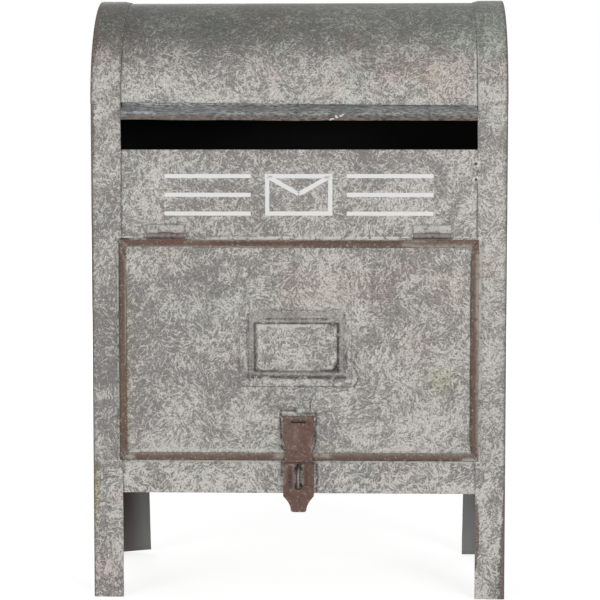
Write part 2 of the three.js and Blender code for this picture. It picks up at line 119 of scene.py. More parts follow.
class LetterBoxFinish(bpy.types.PropertyGroup):
    """Colours of the finishes."""

    zinc_dark: colour("Zinc, dark", "Ground of the patina", 0.185, 0.178, 0.166)
    zinc_light: colour("Zinc, light", "Frosty strokes", 0.66, 0.635, 0.60)
    zinc_rose: colour("Zinc, rose", "Tint of rosy patches", 1.0, 0.93, 0.925)
    zinc_green: colour("Zinc, green", "Tint of greenish patches", 0.92, 0.965, 0.95)
    zinc_ochre: colour("Zinc, ochre", "Tint of ochre stains", 0.93, 0.86, 0.66)
    # Painted shade: the colour that darkens the roof's crown.
    zinc_crown_shade: colour("Zinc, crown", "Darkening over the roof's crown", 0.56, 0.59, 0.565)
    trim_brown: colour("Trim, brown", "Ground of the worn trim", 0.142, 0.098, 0.079)
    trim_grey: colour("Trim, grey", "Ground of the greyer trim", 0.13, 0.112, 0.10)
    trim_warm: colour("Trim, warm", "Ground of the hasp's strap", 0.165, 0.099, 0.080)
    trim_red: colour("Trim, red", "Redder rust on the trim", 0.16, 0.085, 0.07)
    trim_ochre: colour("Trim, ochre", "Ochre rust on the trim", 0.20, 0.155, 0.105)
    # Also the colour of the painted shade lines in gaps and under edges.
    trim_dark: colour("Trim, dark", "Pits and stains in the trim", 0.045, 0.032, 0.028)
    trim_pale: colour("Trim, pale", "Rubbed spots on the trim", 0.42, 0.36, 0.31)
    trim_rubbed: colour("Trim, rubbed", "Trim rubbed or soldered down to the zinc", 0.44, 0.41, 0.375)
    dark_steel: colour("Dark steel", "Plain inner faces of the angles", 0.135, 0.132, 0.125)
    # Near black: painted shade inside the body.
    cavity: colour("Inside", "Inside of the body", 0.012, 0.012, 0.013)
    paint: colour("Paint", "Painted sign", 0.86, 0.86, 0.85)


class LetterBoxStage(bpy.types.PropertyGroup):
    """Camera, lamps and floor."""

    camera_place: FloatVectorProperty(
        name="Camera", description="Camera position", subtype="XYZ", unit="LENGTH", size=3,
        default=(0.0384, -1.2514, 0.2826),
    )
    camera_dip: angle("Dip", "Camera's angle below the horizon", 4.47)
    camera_turn: angle("Turn", "Camera's turn to the left", 1.8075)
    lens: FloatProperty(name="Lens", description="Focal length in millimetres", default=114.43, min=1)
    key_power: power("Key lamp", "Power of the lamp at the front right", 14.5)
    fill_power: power("Fill lamp", "Power of the lamp at the front left", 13.5)
    back_power: power("Back lamp", "Power of the lamp behind", 10.0)
    ambient: FloatProperty(name="Ambient", description="Strength of the room's light", default=0.28, min=0)


# ---------------------------------------------------------------- shader writing


class Field:
    """The value that comes out of a node; arithmetic on it adds more nodes."""

    def __init__(self, shader, socket):
        self.shader = shader
        self.socket = socket

    def __add__(self, other):
        return self.shader.math("ADD", self, other)

    def __sub__(self, other):
        return self.shader.math("SUBTRACT", self, other)

    def __mul__(self, other):
        return self.shader.math("MULTIPLY", self, other)

    def __abs__(self):
        return self.shader.math("ABSOLUTE", self)

    def most(self, other):
        return self.shader.math("MAXIMUM", self, other)

    def ramp(self, low, high, out_low=0.0, out_high=1.0):
        """Eases from one output to the other while the value goes from low to high."""
        levels = {"Value": self, "From Min": low, "From Max": high, "To Min": out_low, "To Max": out_high}
        return self.shader.node("ShaderNodeMapRange", levels, interpolation_type="SMOOTHSTEP")

    def band(self, start, full, fading, end):
        """1 where the value lies between full and fading, 0 before start and after end."""
        return self.ramp(start, full) * self.ramp(fading, end, 1.0, 0.0)

    def covered(self, amount, other):
        """The colour covered by another one, by the amount."""
        return self.shader.mix(amount, self, other)

    def tinted(self, amount, tint):
        """The colour multiplied by the tint, by the amount."""
        return self.covered(amount, self.shader.mix(1.0, self, tint, "MULTIPLY"))

    def parts(self, kind):
        """The numbers that a vector (XYZ) or a colour (Color) is made of."""
        first = self.shader.node(f"ShaderNodeSeparate{kind}", {0: self})
        return [Field(self.shader, socket) for socket in first.socket.node.outputs]


class Shader:
    """Writes the nodes of a material, or of the world given as owner."""

    def __init__(self, name, flat=False, owner=None):
        self.owner = owner or bpy.data.materials.new(name)
        self.owner.use_nodes = True
        self.tree = self.owner.node_tree
        self.tree.nodes.clear()
        self.flat = flat

    def node(self, kind, inputs=None, output=0, **settings):
        """Adds a node and returns one of its outputs."""
        made = self.tree.nodes.new(kind)
        for key, value in settings.items():
            setattr(made, key, value)
        for key, value in (inputs or {}).items():
            socket = made.inputs[key]
            if isinstance(value, Field):
                self.tree.links.new(value.socket, socket)
            else:
                socket.default_value = (*value, 1.0) if socket.type == "RGBA" else value
        return Field(self, made.outputs[output]) if made.outputs else None

    def math(self, operation, a, b=0.0, **settings):
        return self.node("ShaderNodeMath", {0: a, 1: b}, operation=operation, **settings)

    def vector(self, operation, a, b):
        return self.node("ShaderNodeVectorMath", {0: a, 1: b}, operation=operation)

    def mix(self, factor, a, b, blend="MIX"):
        return self.node("ShaderNodeMix", {0: factor, 6: a, 7: b}, 2, data_type="RGBA", blend_type=blend)

    def noise(self, size, detail=2.0, roughness=0.5, distortion=0.0, place=None, output=0):
        """Noise in lumps of about the size, over the sheet unless a place is given."""
        levels = {"Scale": 1 / size, "Detail": detail, "Roughness": roughness, "Distortion": distortion}
        levels["Vector"] = place or self.place
        return self.node("ShaderNodeTexNoise", levels, output, noise_dimensions="2D" if self.flat else "3D")

    def streaks(self, sizes, detail, roughness, distortion=0.0):
        """Noise in lumps of a size of its own along each axis."""
        place = self.vector("MULTIPLY", self.place, tuple(1 / size for size in sizes))
        return self.noise(1.0, detail, roughness, distortion, place)

    def attribute(self, name):
        return self.node("ShaderNodeAttribute", output="Fac", attribute_name=name)

    @cached_property
    def solid(self):
        """Place in the piece's own coordinates."""
        return self.node("ShaderNodeTexCoord", output="Object")

    @cached_property
    def place(self):
        """Place on the sheet laid out flat, or else in the piece's own coordinates."""
        return self.node("ShaderNodeUVMap", uv_map="Sheet") if self.flat else self.solid

    def not_bounced(self):
        """1 for what the camera sees straight, in a mirror or through glass, 0 for lighting."""
        kinds = ("Is Camera Ray", "Is Glossy Ray", "Is Transmission Ray")
        camera, glossy, through = (self.node("ShaderNodeLightPath", output=kind) for kind in kinds)
        return camera.most(glossy).most(through)

    def surface(self, base, roughness, metallic, bump, bump_height, specular=0.5):
        """Ends the material with a surface of this colour, raised by the bump; returns the material."""
        relief = self.node("ShaderNodeBump", {"Height": bump, "Distance": bump_height, "Strength": 1.0})
        levels = {"Base Color": base, "Roughness": roughness, "Metallic": metallic, "Normal": relief}
        levels["Specular IOR Level"] = specular
        self.node("ShaderNodeOutputMaterial", {0: self.node("ShaderNodeBsdfPrincipled", levels)})
        return self.owner


# Frosty strokes: patch size, shift, stroke length and width in millimetres, and how sparse they are.
STROKES = ((14, 0.0, 5.6, 1.25, 0.525), (9, 0.31, 3.6, 1.0, 0.56), (14, 0.53, 7.5, 1.9, 0.575))
DARK_STROKES = (9, 0.77, 3.4, 0.8)


def frosty_strokes(shader, patch, shift, stroke_length, stroke_width, threshold):
    """Short strokes on the sheet: each crystal patch has its strokes in a direction of its own."""
    moved = shader.vector("ADD", shader.place, (shift, shift * 0.7, 0))
    bend = shader.noise(7 * MM, 1.0, place=moved, output="Color")
    bend = shader.vector("SUBTRACT", bend, (0.5, 0.5, 0.5))
    bend = shader.node("ShaderNodeVectorMath", {0: bend, "Scale": 5 * MM}, operation="SCALE")
    curved = shader.vector("ADD", moved, bend)
    cells = {"Vector": curved, "Scale": 1 / (patch * MM), "Randomness": 1.0}
    patches = shader.node("ShaderNodeTexVoronoi", cells, "Color", voronoi_dimensions="2D")
    turn = patches.parts("Color")[0] * (2 * math.pi)
    turned = shader.node("ShaderNodeVectorRotate", {"Vector": curved, "Angle": turn, "Axis": (0, 0, 1)})
    sizes = (1 / (stroke_length * MM), 1 / (stroke_width * MM), 1)
    height = shader.noise(1.0, 1.5, place=shader.vector("MULTIPLY", turned, sizes))
    return (height - threshold).ramp(0.0, 0.085)


def door_gap_shade(axes, ragged, base):
    """A painted shadow line in the gap round the closed door and a pale ragged line outside it."""
    finish = bpy.context.scene.letter_box_finish
    x, y, z = axes
    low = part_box("door_rim_bottom")[0]
    sides = [abs(axes[i] - (low[i] + RIM_HIGH[i]) / 2) - (RIM_HIGH[i] - low[i]) / 2 for i in (X, Z)]
    away = sides[0].most(sides[1])
    front = y.ramp(LEG_LOW.y + 3 * MM, LEG_LOW.y + 5 * MM, 1.0, 0.0)
    left = x.ramp(low.x + 4 * MM, low.x + 8 * MM, 1.0, 0.0)
    below = z.ramp(low.z + 1 * MM, low.z + 3 * MM, 1.0, 0.0)
    # Painted shadow in the gap beside the door's left and bottom rails.
    dark = away.band(-1 * MM, 0.0, 0.35 * MM, 0.9 * MM) * front * left.most(below)
    soldered = x.band(-68 * MM, -64 * MM, 60 * MM, 66 * MM) * front
    right = x.ramp(RIM_HIGH.x - 3 * MM, RIM_HIGH.x - 1 * MM)
    bright = soldered.most(right) * front * z.ramp(DOOR_MIDDLE, DOOR_MIDDLE + 20 * MM, 0.35, 1.0)
    bright = bright * away.band(-0.9 * MM, -0.3 * MM, 0.9 * MM, 1.9 * MM)
    pale = away.band(0.7 * MM, 1.0 * MM, 1.5 * MM, 2.1 * MM) * front
    base = base.covered(pale * ragged.ramp(0.42, 0.52) * 0.9, finish.zinc_light)
    base = base.covered(bright * ragged.ramp(0.38, 0.52) * 1.0, finish.zinc_light)
    return base.covered(dark * ragged.ramp(0.34, 0.50) * 0.9, finish.trim_dark)


@cache
def zinc_sheet(name="Zinc sheet", frost=1.0, worn=False, round_door=False):
    """Dull zinc with frosty strokes and tinted patches, with painted shade over the roof's crown and dark
    lines of dirt and painted shade; worn edges show brown.
    """
    finish = bpy.context.scene.letter_box_finish
    shader = Shader(name, flat=True)
    axes = shader.solid.parts("XYZ")
    across, _, height = axes
    tone_and_light, pale, grime_and_shade, ochre = (shader.attribute(key) for key in ("tone_and_light", "pale", "grime_and_shade", "ochre"))
    clouds = shader.noise(30 * MM, 3.0, 0.62, 0.4)
    clumps = shader.noise(11 * MM, 2.0, 0.55)
    ragged = shader.noise(3.5 * MM, 3.0, 0.65)
    mottle = shader.noise(2.7 * MM, 1.0)
    specks = shader.noise(1.0 * MM, 2.0, 0.6)

    crown = height.ramp(SPRING + 6 * MM, SPRING + 46 * MM, -0.035, 0.08)
    crown = crown * height.ramp(SPRING - 1 * MM, SPRING)
    bare = clouds.ramp(0.38, 0.60, 0.045, -0.025) + clumps.ramp(0.36, 0.62, 0.05, -0.025)
    sparse = bare + crown - tone_and_light * 0.05
    first, second, broad = (frosty_strokes(shader, *sizes, sparse + level) for *sizes, level in STROKES)
    strokes = first.most(second).most(broad) * specks.ramp(0.28, 0.60, 0.5, 1.0)
    dark_strokes = frosty_strokes(shader, *DARK_STROKES, 0.60)

    gain = 0.62 * frost
    if round_door:
        gain = height.ramp(FOOT + 24 * MM, FOOT + 18 * MM, gain, 0.80)
    grain = specks.ramp(0.25, 0.75, -0.16, 0.24) + mottle.ramp(0.28, 0.72, -0.09, 0.09)
    lightness = grain + clouds.ramp(0.25, 0.75, 0.07, 0.23) + strokes * gain - dark_strokes * (0.26 * frost)
    # The tone patches, partly painted light, lighten and darken the zinc here.
    lightness = shader.math("ADD", lightness, tone_and_light * 0.12, use_clamp=True)
    base = shader.mix(lightness, finish.zinc_dark, finish.zinc_light)

    drifts = shader.noise(40 * MM, 1.5, 0.5, 0.3, output="Color").parts("Color")
    roof = height.ramp(SPRING + 4 * MM, SPRING + 16 * MM, 0.4, 1.0)
    for drift, key, tint in zip(drifts, ("rose", "green"), (finish.zinc_rose, finish.zinc_green)):
        broken = shader.attribute(key) * clumps.ramp(0.34, 0.50, 0.35, 1.0)
        base = base.tinted(drift.ramp(0.56, 0.68) * roof + broken, tint)
    base = base.tinted(ochre, finish.zinc_ochre)
    # Painted shade over the roof's crown: darker with height, and darker on the left than on the right
    # because the light falls from the right.
    sides = [tuple(level * channel for channel in finish.zinc_crown_shade) for level in (0.84, 1.26)]
    crown_shade = shader.mix(across.ramp(-HALF_WIDTH, HALF_WIDTH), *sides)
    base = base.tinted(height.ramp(SPRING + 14 * MM, SPRING + 56 * MM), crown_shade)

    if round_door:
        base = door_gap_shade(axes, ragged, base)
    base = base.covered(pale * ragged.ramp(0.38, 0.52) * 0.85, finish.zinc_light)
    # Dark lines of dirt and of painted shade in gaps and under edges.
    base = base.covered(grime_and_shade * ragged.ramp(0.30, 0.46) * 0.8, finish.trim_dark)
    if worn:
        edge = (shader.attribute("wear") + (ragged - 0.5) * 1.1).ramp(0.48, 0.62, 0.0, 0.92)
        rust = shader.mix(specks.ramp(0.35, 0.65), (0.085, 0.062, 0.052), (0.225, 0.178, 0.162))
        base = base.covered(edge, rust)
    relief = strokes * 0.5 + specks * 0.5
    return shader.surface(base, strokes.ramp(0.0, 1.0, 0.48, 0.64), 0.15, relief, 0.10 * MM, 0.3)


def edged_zinc():
    return zinc_sheet("Zinc sheet, worn edges", worn=True, round_door=True)


@cache
def worn_trim(name="Worn trim", ground="trim_brown"):
    """Brown steel: rust in two tones, rubbed pale specks, small dark pits, and dark lines of dirt and
    painted shade.
    """
    finish = bpy.context.scene.letter_box_finish
    shader = Shader(name)
    keys = ("rose", "ochre", "wear", "grime_and_shade", "pale")
    rose, ochre, wear, grime_and_shade, pale = (shader.attribute(key) for key in keys)
    patches = shader.noise(13 * MM, 2.0, 0.6)
    drift = shader.noise(19 * MM, place=shader.vector("ADD", shader.place, (0.4, 0.2, 0.1)))
    ragged = shader.noise(2.6 * MM, 3.0, 0.65)
    grain = shader.noise(1.5 * MM, 3.0, 0.65)
    specks = shader.noise(1.5 * MM, 2.0, 0.6, 0.5)
    base = shader.mix(patches.ramp(0.40, 0.66, 0.0, 0.6), getattr(finish, ground), finish.trim_red)
    base = base.covered(rose.ramp(0.3, 1.2), finish.trim_red)
    base = base.covered(drift.ramp(0.50, 0.66, 0.0, 0.4), finish.trim_ochre)
    base = base.covered(ochre * ragged.ramp(0.30, 0.50) * 0.75, finish.trim_ochre)
    base = base.covered(grain.ramp(0.28, 0.48, 0.7, 0.0), finish.trim_dark)
    base = base.covered(grain.ramp(0.54, 0.74, 0.0, 0.22), finish.trim_pale)
    base = base.covered((specks + wear * 0.10).ramp(0.62, 0.72) * 0.7, finish.trim_pale)
    # Dark lines of dirt and of painted shade in gaps and under edges.
    base = base.covered(grime_and_shade * ragged.ramp(0.30, 0.50) * 0.75, finish.trim_dark)
    base = base.covered(pale * ragged.ramp(0.32, 0.50) * 0.8, finish.trim_rubbed)
    relief = grain * 0.7 + patches * 0.3
    return shader.surface(base, grain.ramp(0.3, 0.7, 0.5, 0.75), 0.1, relief, 0.22 * MM, 0.2)


@cache
def hood_finish():
    """Slate-grey weathered top with a browner lip."""
    shader = Shader("Weathered hood")
    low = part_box("slot_hood")[0].z
    streaks = shader.streaks((3.4 * MM, 1.2 * MM, 1.2 * MM), 4.0, 0.7, 0.5)
    patches = shader.noise(16 * MM, 3.0, 0.6)
    lines = streaks.ramp(0.36, 0.64)
    slate = shader.mix(lines, (0.088, 0.099, 0.101), (0.52, 0.53, 0.53))
    slate = slate.covered(patches.ramp(0.40, 0.62, 0.0, 0.45), (0.125, 0.14, 0.142))
    brown = shader.mix(lines, (0.055, 0.044, 0.038), (0.235, 0.205, 0.185))
    brown = brown.covered(patches.ramp(0.46, 0.60, 0.0, 0.6), (0.155, 0.115, 0.10))
    base = slate.covered(shader.solid.parts("XYZ")[Z].ramp(low + 5.6 * MM, low + 2.4 * MM), brown)
    base = base.covered(shader.attribute("pale").ramp(0.2, 0.7), (0.66, 0.64, 0.61))
    return shader.surface(base, 0.55, 0.1, streaks, 0.12 * MM, 0.3)


@cache
def plain_steel():
    """Smooth inner faces of the corner angles: brown and darker in the corner as painted shade, greyer at
    the edge, and lighter towards the foot and on the right as painted light.
    """
    shader = Shader("Plain dark steel")
    x, _, z = shader.solid.parts("XYZ")
    soft = shader.streaks((14 * MM, 14 * MM, 60 * MM), 2.0, 0.5)
    # Painted shade: darker and browner into the corner.
    inner = (abs(x) + soft.ramp(0.3, 0.7, -2 * MM, 2 * MM)).ramp(HALF_WIDTH - 4 * MM, HALF_WIDTH - 15 * MM)
    right = x.ramp(-0.5 * HALF_WIDTH, 0.5 * HALF_WIDTH)
    # Painted light: lighter towards the foot and on the right side, where the light comes from.
    foot_and_right_light = z.ramp(FOOT * 0.8, 0.0) * (right * 0.35 + 0.3) + right * 0.15
    base = shader.mix(inner, (0.105, 0.080, 0.070), bpy.context.scene.letter_box_finish.dark_steel)
    base = base.covered(foot_and_right_light, (0.228, 0.236, 0.232))
    base = base.covered(soft.ramp(0.4, 0.7, 0.0, 0.3), (0.075, 0.066, 0.060))
    return shader.surface(base, 0.42, 0.3, soft, 0.05 * MM, 0.35)


@cache
def cavity_shade():
    """Inside of the body, near black: painted shade."""
    shader = Shader("Inside in painted shade")
    mottle_noise = shader.noise(20 * MM, 3.0, 0.6)
    base = shader.mix(mottle_noise, bpy.context.scene.letter_box_finish.cavity, (0.022, 0.021, 0.02))
    return shader.surface(base, 0.8, 0.0, mottle_noise, 0.05 * MM, 0.2)


@cache
def staple_steel():
    """The staple's wire: painted shade down its sides and lighter along its middle, standing in for the
    light across the round wire.
    """
    shader = Shader("Staple steel")
    side_shade = abs(shader.solid.parts("XYZ")[X] - 0.2 * MM).ramp(0.2 * MM, 0.9 * MM)
    lumps = shader.noise(1.2 * MM, 2.0, 0.6)
    rubbed = shader.mix(lumps.ramp(0.35, 0.65), (0.17, 0.155, 0.145), (0.36, 0.34, 0.32))
    base = rubbed.covered(side_shade, (0.06, 0.052, 0.048))
    return shader.surface(base, lumps.ramp(0.3, 0.7, 0.4, 0.6), 0.3, lumps, 0.05 * MM, 0.3)


@cache
def bare_steel():
    """Bright steel of the pins."""
    shader = Shader("Bare steel")
    lines = shader.streaks((0.3 * MM, 3 * MM, 3 * MM), 3.0, 0.6)
    base = shader.mix(lines.ramp(0.35, 0.65), (0.36, 0.35, 0.33), (0.72, 0.71, 0.69))
    return shader.surface(base, lines.ramp(0.3, 0.7, 0.25, 0.45), 0.9, lines, 0.03 * MM)


@cache
def dull_solder():
    """Whitish dull solder with a dark pit of painted shade."""
    shader = Shader("Dull solder")
    lumps = shader.noise(0.9 * MM, 3.0, 0.6)
    base = shader.mix(lumps.ramp(0.35, 0.65), (0.24, 0.225, 0.205), (0.60, 0.575, 0.54))
    # Painted shade: a dark pit at the middle of each blob.
    pit = (shader.attribute("wear") + lumps * 0.4).ramp(0.65, 0.85)
    base = base.covered(pit, bpy.context.scene.letter_box_finish.trim_dark)
    return shader.surface(base, 0.5, 0.3, lumps, 0.15 * MM, 0.35)


@cache
def sign_paint():
    """White paint, a little thin and chipped."""
    shader = Shader("Sign paint")
    thin = shader.noise(2.2 * MM, 4.0, 0.65)
    worn = thin.ramp(0.60, 0.72) * shader.noise(14 * MM).ramp(0.4, 0.65, 0.0, 0.55)
    base = shader.mix(worn, bpy.context.scene.letter_box_finish.paint, (0.55, 0.54, 0.52))
    return shader.surface(base, 0.5, 0.0, thin, 0.04 * MM, 0.3)


# ---------------------------------------------------------------- mesh working


def clamp(value):
    return min(1.0, max(0.0, value))


def bell(distance, reach):
    """1 at no distance, falling smoothly to almost 0 at twice the reach."""
    return math.exp(-((distance / reach) ** 2))


def from_axis(point):
    """The way straight out from the roof's axis to the point."""
    return Vector((0, point.y - ARCH_CENTRE.y, point.z - SPRING))


def cad_copy(node):
    """The CAD solid as flat faces, ready to be worked."""
    bm = bmesh.new()
    bm.from_mesh(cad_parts[node].data)
    bmesh.ops.remove_doubles(bm, verts=bm.verts, dist=0.002 * MM)
    bmesh.ops.dissolve_limit(bm, angle_limit=math.radians(2), verts=bm.verts, edges=bm.edges)
    return bm


def edges_between(bm, low, high):
    """Edges whose faces meet at an angle between the two, in degrees."""
    folded = [edge for edge in bm.edges if len(edge.link_faces) == 2]
    return [edge for edge in folded if low <= math.degrees(edge.calc_face_angle(0.0)) < high]


def round_edges(bm, radius, segments, angles=CUT_EDGE):
    """Rounds the edges whose faces meet at an angle between the two, in degrees."""
    shape = {"offset": radius, "offset_type": "OFFSET", "segments": segments, "profile": 0.5}
    edges = edges_between(bm, *angles)
    bmesh.ops.bevel(bm, geom=edges, affect="EDGES", clamp_overlap=True, material=-1, **shape)


def slice_mesh(bm, axis, places):
    """Cuts the mesh by planes across the axis, so that it can be bent there."""
    way = AXES[axis]
    for place in places:
        geometry = [*bm.verts, *bm.edges, *bm.faces]
        bmesh.ops.bisect_plane(bm, geom=geometry, dist=0.0005 * MM, plane_co=way * place, plane_no=way)


def spaced(low, high, step):
    """Places between the two ends, about a step apart."""
    count = max(1, round((high - low) / step))
    return [low + (high - low) * i / count for i in range(1, count)]


def bounds_of(bm):
    return tuple(Vector(pick(v.co[i] for v in bm.verts) for i in range(3)) for pick in (min, max))


def edge_tree(bm):
    """A search tree of points along the sheet's cut edges."""
    points = []
    for edge in edges_between(bm, *CUT_EDGE):
        start, end = (v.co for v in edge.verts)
        count = max(1, math.ceil((end - start).length / (1.2 * MM)))
        points += [start.lerp(end, i / count) for i in range(count + 1)]
    tree = kdtree.KDTree(len(points))
    for index, point in enumerate(points):
        tree.insert(point, index)
    tree.balance()
    return tree


def blank(node, radius, segments, *steps):
    """A copy of a CAD solid, rounded and cut across by (axis, step), and the tree of its cut edges."""
    bm = cad_copy(node)
    tree = edge_tree(bm)
    round_edges(bm, radius, segments)
    low, high = bounds_of(bm)
    for axis, step in steps:
        slice_mesh(bm, axis, spaced(low[axis], high[axis], step * MM))
    return bm, tree


def bend_sheet(bm, axis):
    """Gives the sheet the slow waves of hand work."""
    form = bpy.context.scene.letter_box_form
    for vert in bm.verts:
        vert.co += AXES[axis] * noise.noise(vert.co / form.wave_length) * form.wave


def arc_length(point):
    """Distance round the roof from the front spring line, or the height below it."""
    out = from_axis(point)
    return point.z if out.z <= 0 else SPRING + ARCH_RADIUS * math.atan2(out.z, -out.y)


def unwrap(bm, fine):
    """Lays the surface out flat in metres, so that the strokes follow the sheet."""
    layer = bm.loops.layers.uv.new("Sheet")
    bm.normal_update()
    for face in bm.faces:
        normal = face.normal
        for loop in face.loops:
            point = loop.vert.co
            if abs(normal.x) > FACING:
                flat = Vector((point.y + 0.5, point.z))
            elif point.z > SPRING or abs(normal.y) > 0.6:
                flat = Vector((point.x, arc_length(point)))
            else:
                flat = Vector((point.x, point.y + 0.25))
            loop[layer].uv = flat * fine


def near_edge(tree, reach):
    """A measure of how near a point lies to a cut edge, from 0 to 1."""
    return lambda point: bell(tree.find(point)[2], reach)


def finish_piece(bm, skins, body, slot, node=None, name=None, pick=None, fine=0.9, **measures):
    """Turns the worked mesh into a piece that rides on its body and stands for the node."""
    name = name or f"{node}_worked"
    bm.normal_update()
    for face in bm.faces:
        face.material_index = pick(face) if pick else 0
    unwrap(bm, fine)
    mesh = bpy.data.meshes.new(name)
    bm.to_mesh(mesh)
    bm.free()
    for skin in skins:
        mesh.materials.append(skin)
    for key, patches in PATCHES.items():
        measures.setdefault(key, patches_at(patches))
    for key, measure in measures.items():
        attribute = mesh.attributes.new(key, "FLOAT", "POINT")
        attribute.data.foreach_set("value", [measure(vert.co) for vert in mesh.vertices])
    mesh.shade_smooth()
    mesh.set_sharp_from_angle(angle=SHARP_ANGLE)
    piece = bpy.data.objects.new(name, mesh)
    bpy.context.scene.collection.objects.link(piece)
    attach(piece, body)
    if node:
        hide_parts(node)


def faces_inside(face):
    """1 for faces that look into the body, else 0."""
    centre = face.calc_center_median()
    if abs(face.normal.x) > FACING:
        return int(face.normal.x * centre.x < 0)
    if abs(face.normal.z) > FACING and centre.z < SPRING:
        return int(face.normal.z > 0)
    towards = (ARCH_CENTRE if centre.z > SPRING else CAVITY) - centre
    return int(face.normal.dot(Vector((0, towards.y, max(towards.z, 0.0)))) > 0)


# Patches on the front, by what they change: place across and up and radius in millimetres, and amount.
PATCHES = {
    # These patches lighten and darken the front: partly the patina's uneven tone, partly painted light,
    # with the right side lighter and the left side darker as the light falls from the right.
    "tone_and_light": (
        (-121, 140, 55, -0.9), (-120, 270, 30, 0.3), (120, 140, 90, 0.5), (-60, 80, 35, 1),
        (60, 80, 35, 0.7), (120, 30, 45, 0.7), (-105, 78, 10, 0.6), (-34, 78, 11, 0.9), (27, 78, 10, 1),
        (50, 78, 11, -1), (-18, 281, 12, -1.6), (36, 282, 10, -0.9), (-122, 292, 11, -1.2),
        (-122, 234, 11, -1.3), (-122, 197, 10, 0.5), (-122, 165, 20, -0.9), (-122, 102, 12, 0.6),
        (122, 347, 8, 0.9), (122, 327, 9, -1), (122, 259, 16, 1), (122, 217, 10, 1.2), (122, 159, 10, 1.2),
        (122, 82, 12, -0.9), (122, 44, 12, -0.7), (-120, 30, 45, 0.35), (-120, 85, 20, -0.3),
        (-50, 326, 18, 0.5), (30, 326, 22, 0.9), (90, 326, 18, 0.4), (-95, 110, 22, 0.6),
        (55, 115, 26, 0.4), (-60, 200, 20, -0.4), (75, 195, 18, -0.5), (80, 150, 30, -0.4),
        (0, 235, 20, 0.3), (-121, 300, 10, 0.9), (121, 350, 24, 1.2), (-121, 337, 14, 0.8),
    ),
    "rose": (
        (-82, 225.5, 12, 1.2), (-70, 231, 4, 1.6), (4, 198, 15, 1.3), (32, 199, 12, 1.2),
        (52, 196, 11, 1.5), (70, 214, 12, 1.3), (92, 190, 10, 1), (76, 162, 14, 0.9), (-15, 332, 9, 1.3),
        (56, 332, 11, 1.5), (83, 333, 12, -0.8), (91, 319, 10, 1.3), (121, 342, 13, -1.2),
        (-120, 345, 14, 1.2), (-28, 300, 12, 0.5), (-112, 63.5, 6, 1.3), (-108, 67, 4, 1),
        (-126, 22, 8, 1.5), (-118, 10, 12, 0.9), (-121, 40, 10, 0.5), (119, 208, 8, 1.2),
    ),
    "ochre": (
        (89, 139, 8, 0.7), (-121, 314.5, 5, 0.5), (81, 329, 10, 0.3),
    ),
    "green": (
        (96, 362.5, 11, 1.8), (116, 361.5, 12, 1.8), (88, 140, 10, 1.2), (-66, 222, 10, 1.1),
        (-121, 314.5, 6, 1.3), (-128, 72, 8, 1.3), (-129, 84, 5, 1), (-84, 232, 10, 1),
    ),
}


def patches_at(patches):
    """How much the patches change the sheet at a point on the front."""

    def measure(point):
        total = 0.0
        if point.y < ARCH_CENTRE.y or point.z > SPRING:
            spread = math.hypot(point.y - ARCH_CENTRE.y, max(0.0, point.z - SPRING))
            depth = bell(max(0.0, ARCH_RADIUS - spread), 14 * MM)
            for across, up, radius, amount in patches:
                away = math.hypot(point.x / MM - across, point.z / MM - up) / radius
                if away < 3:
                    total += amount * bell(away, 1) * depth
        return total

    return measure
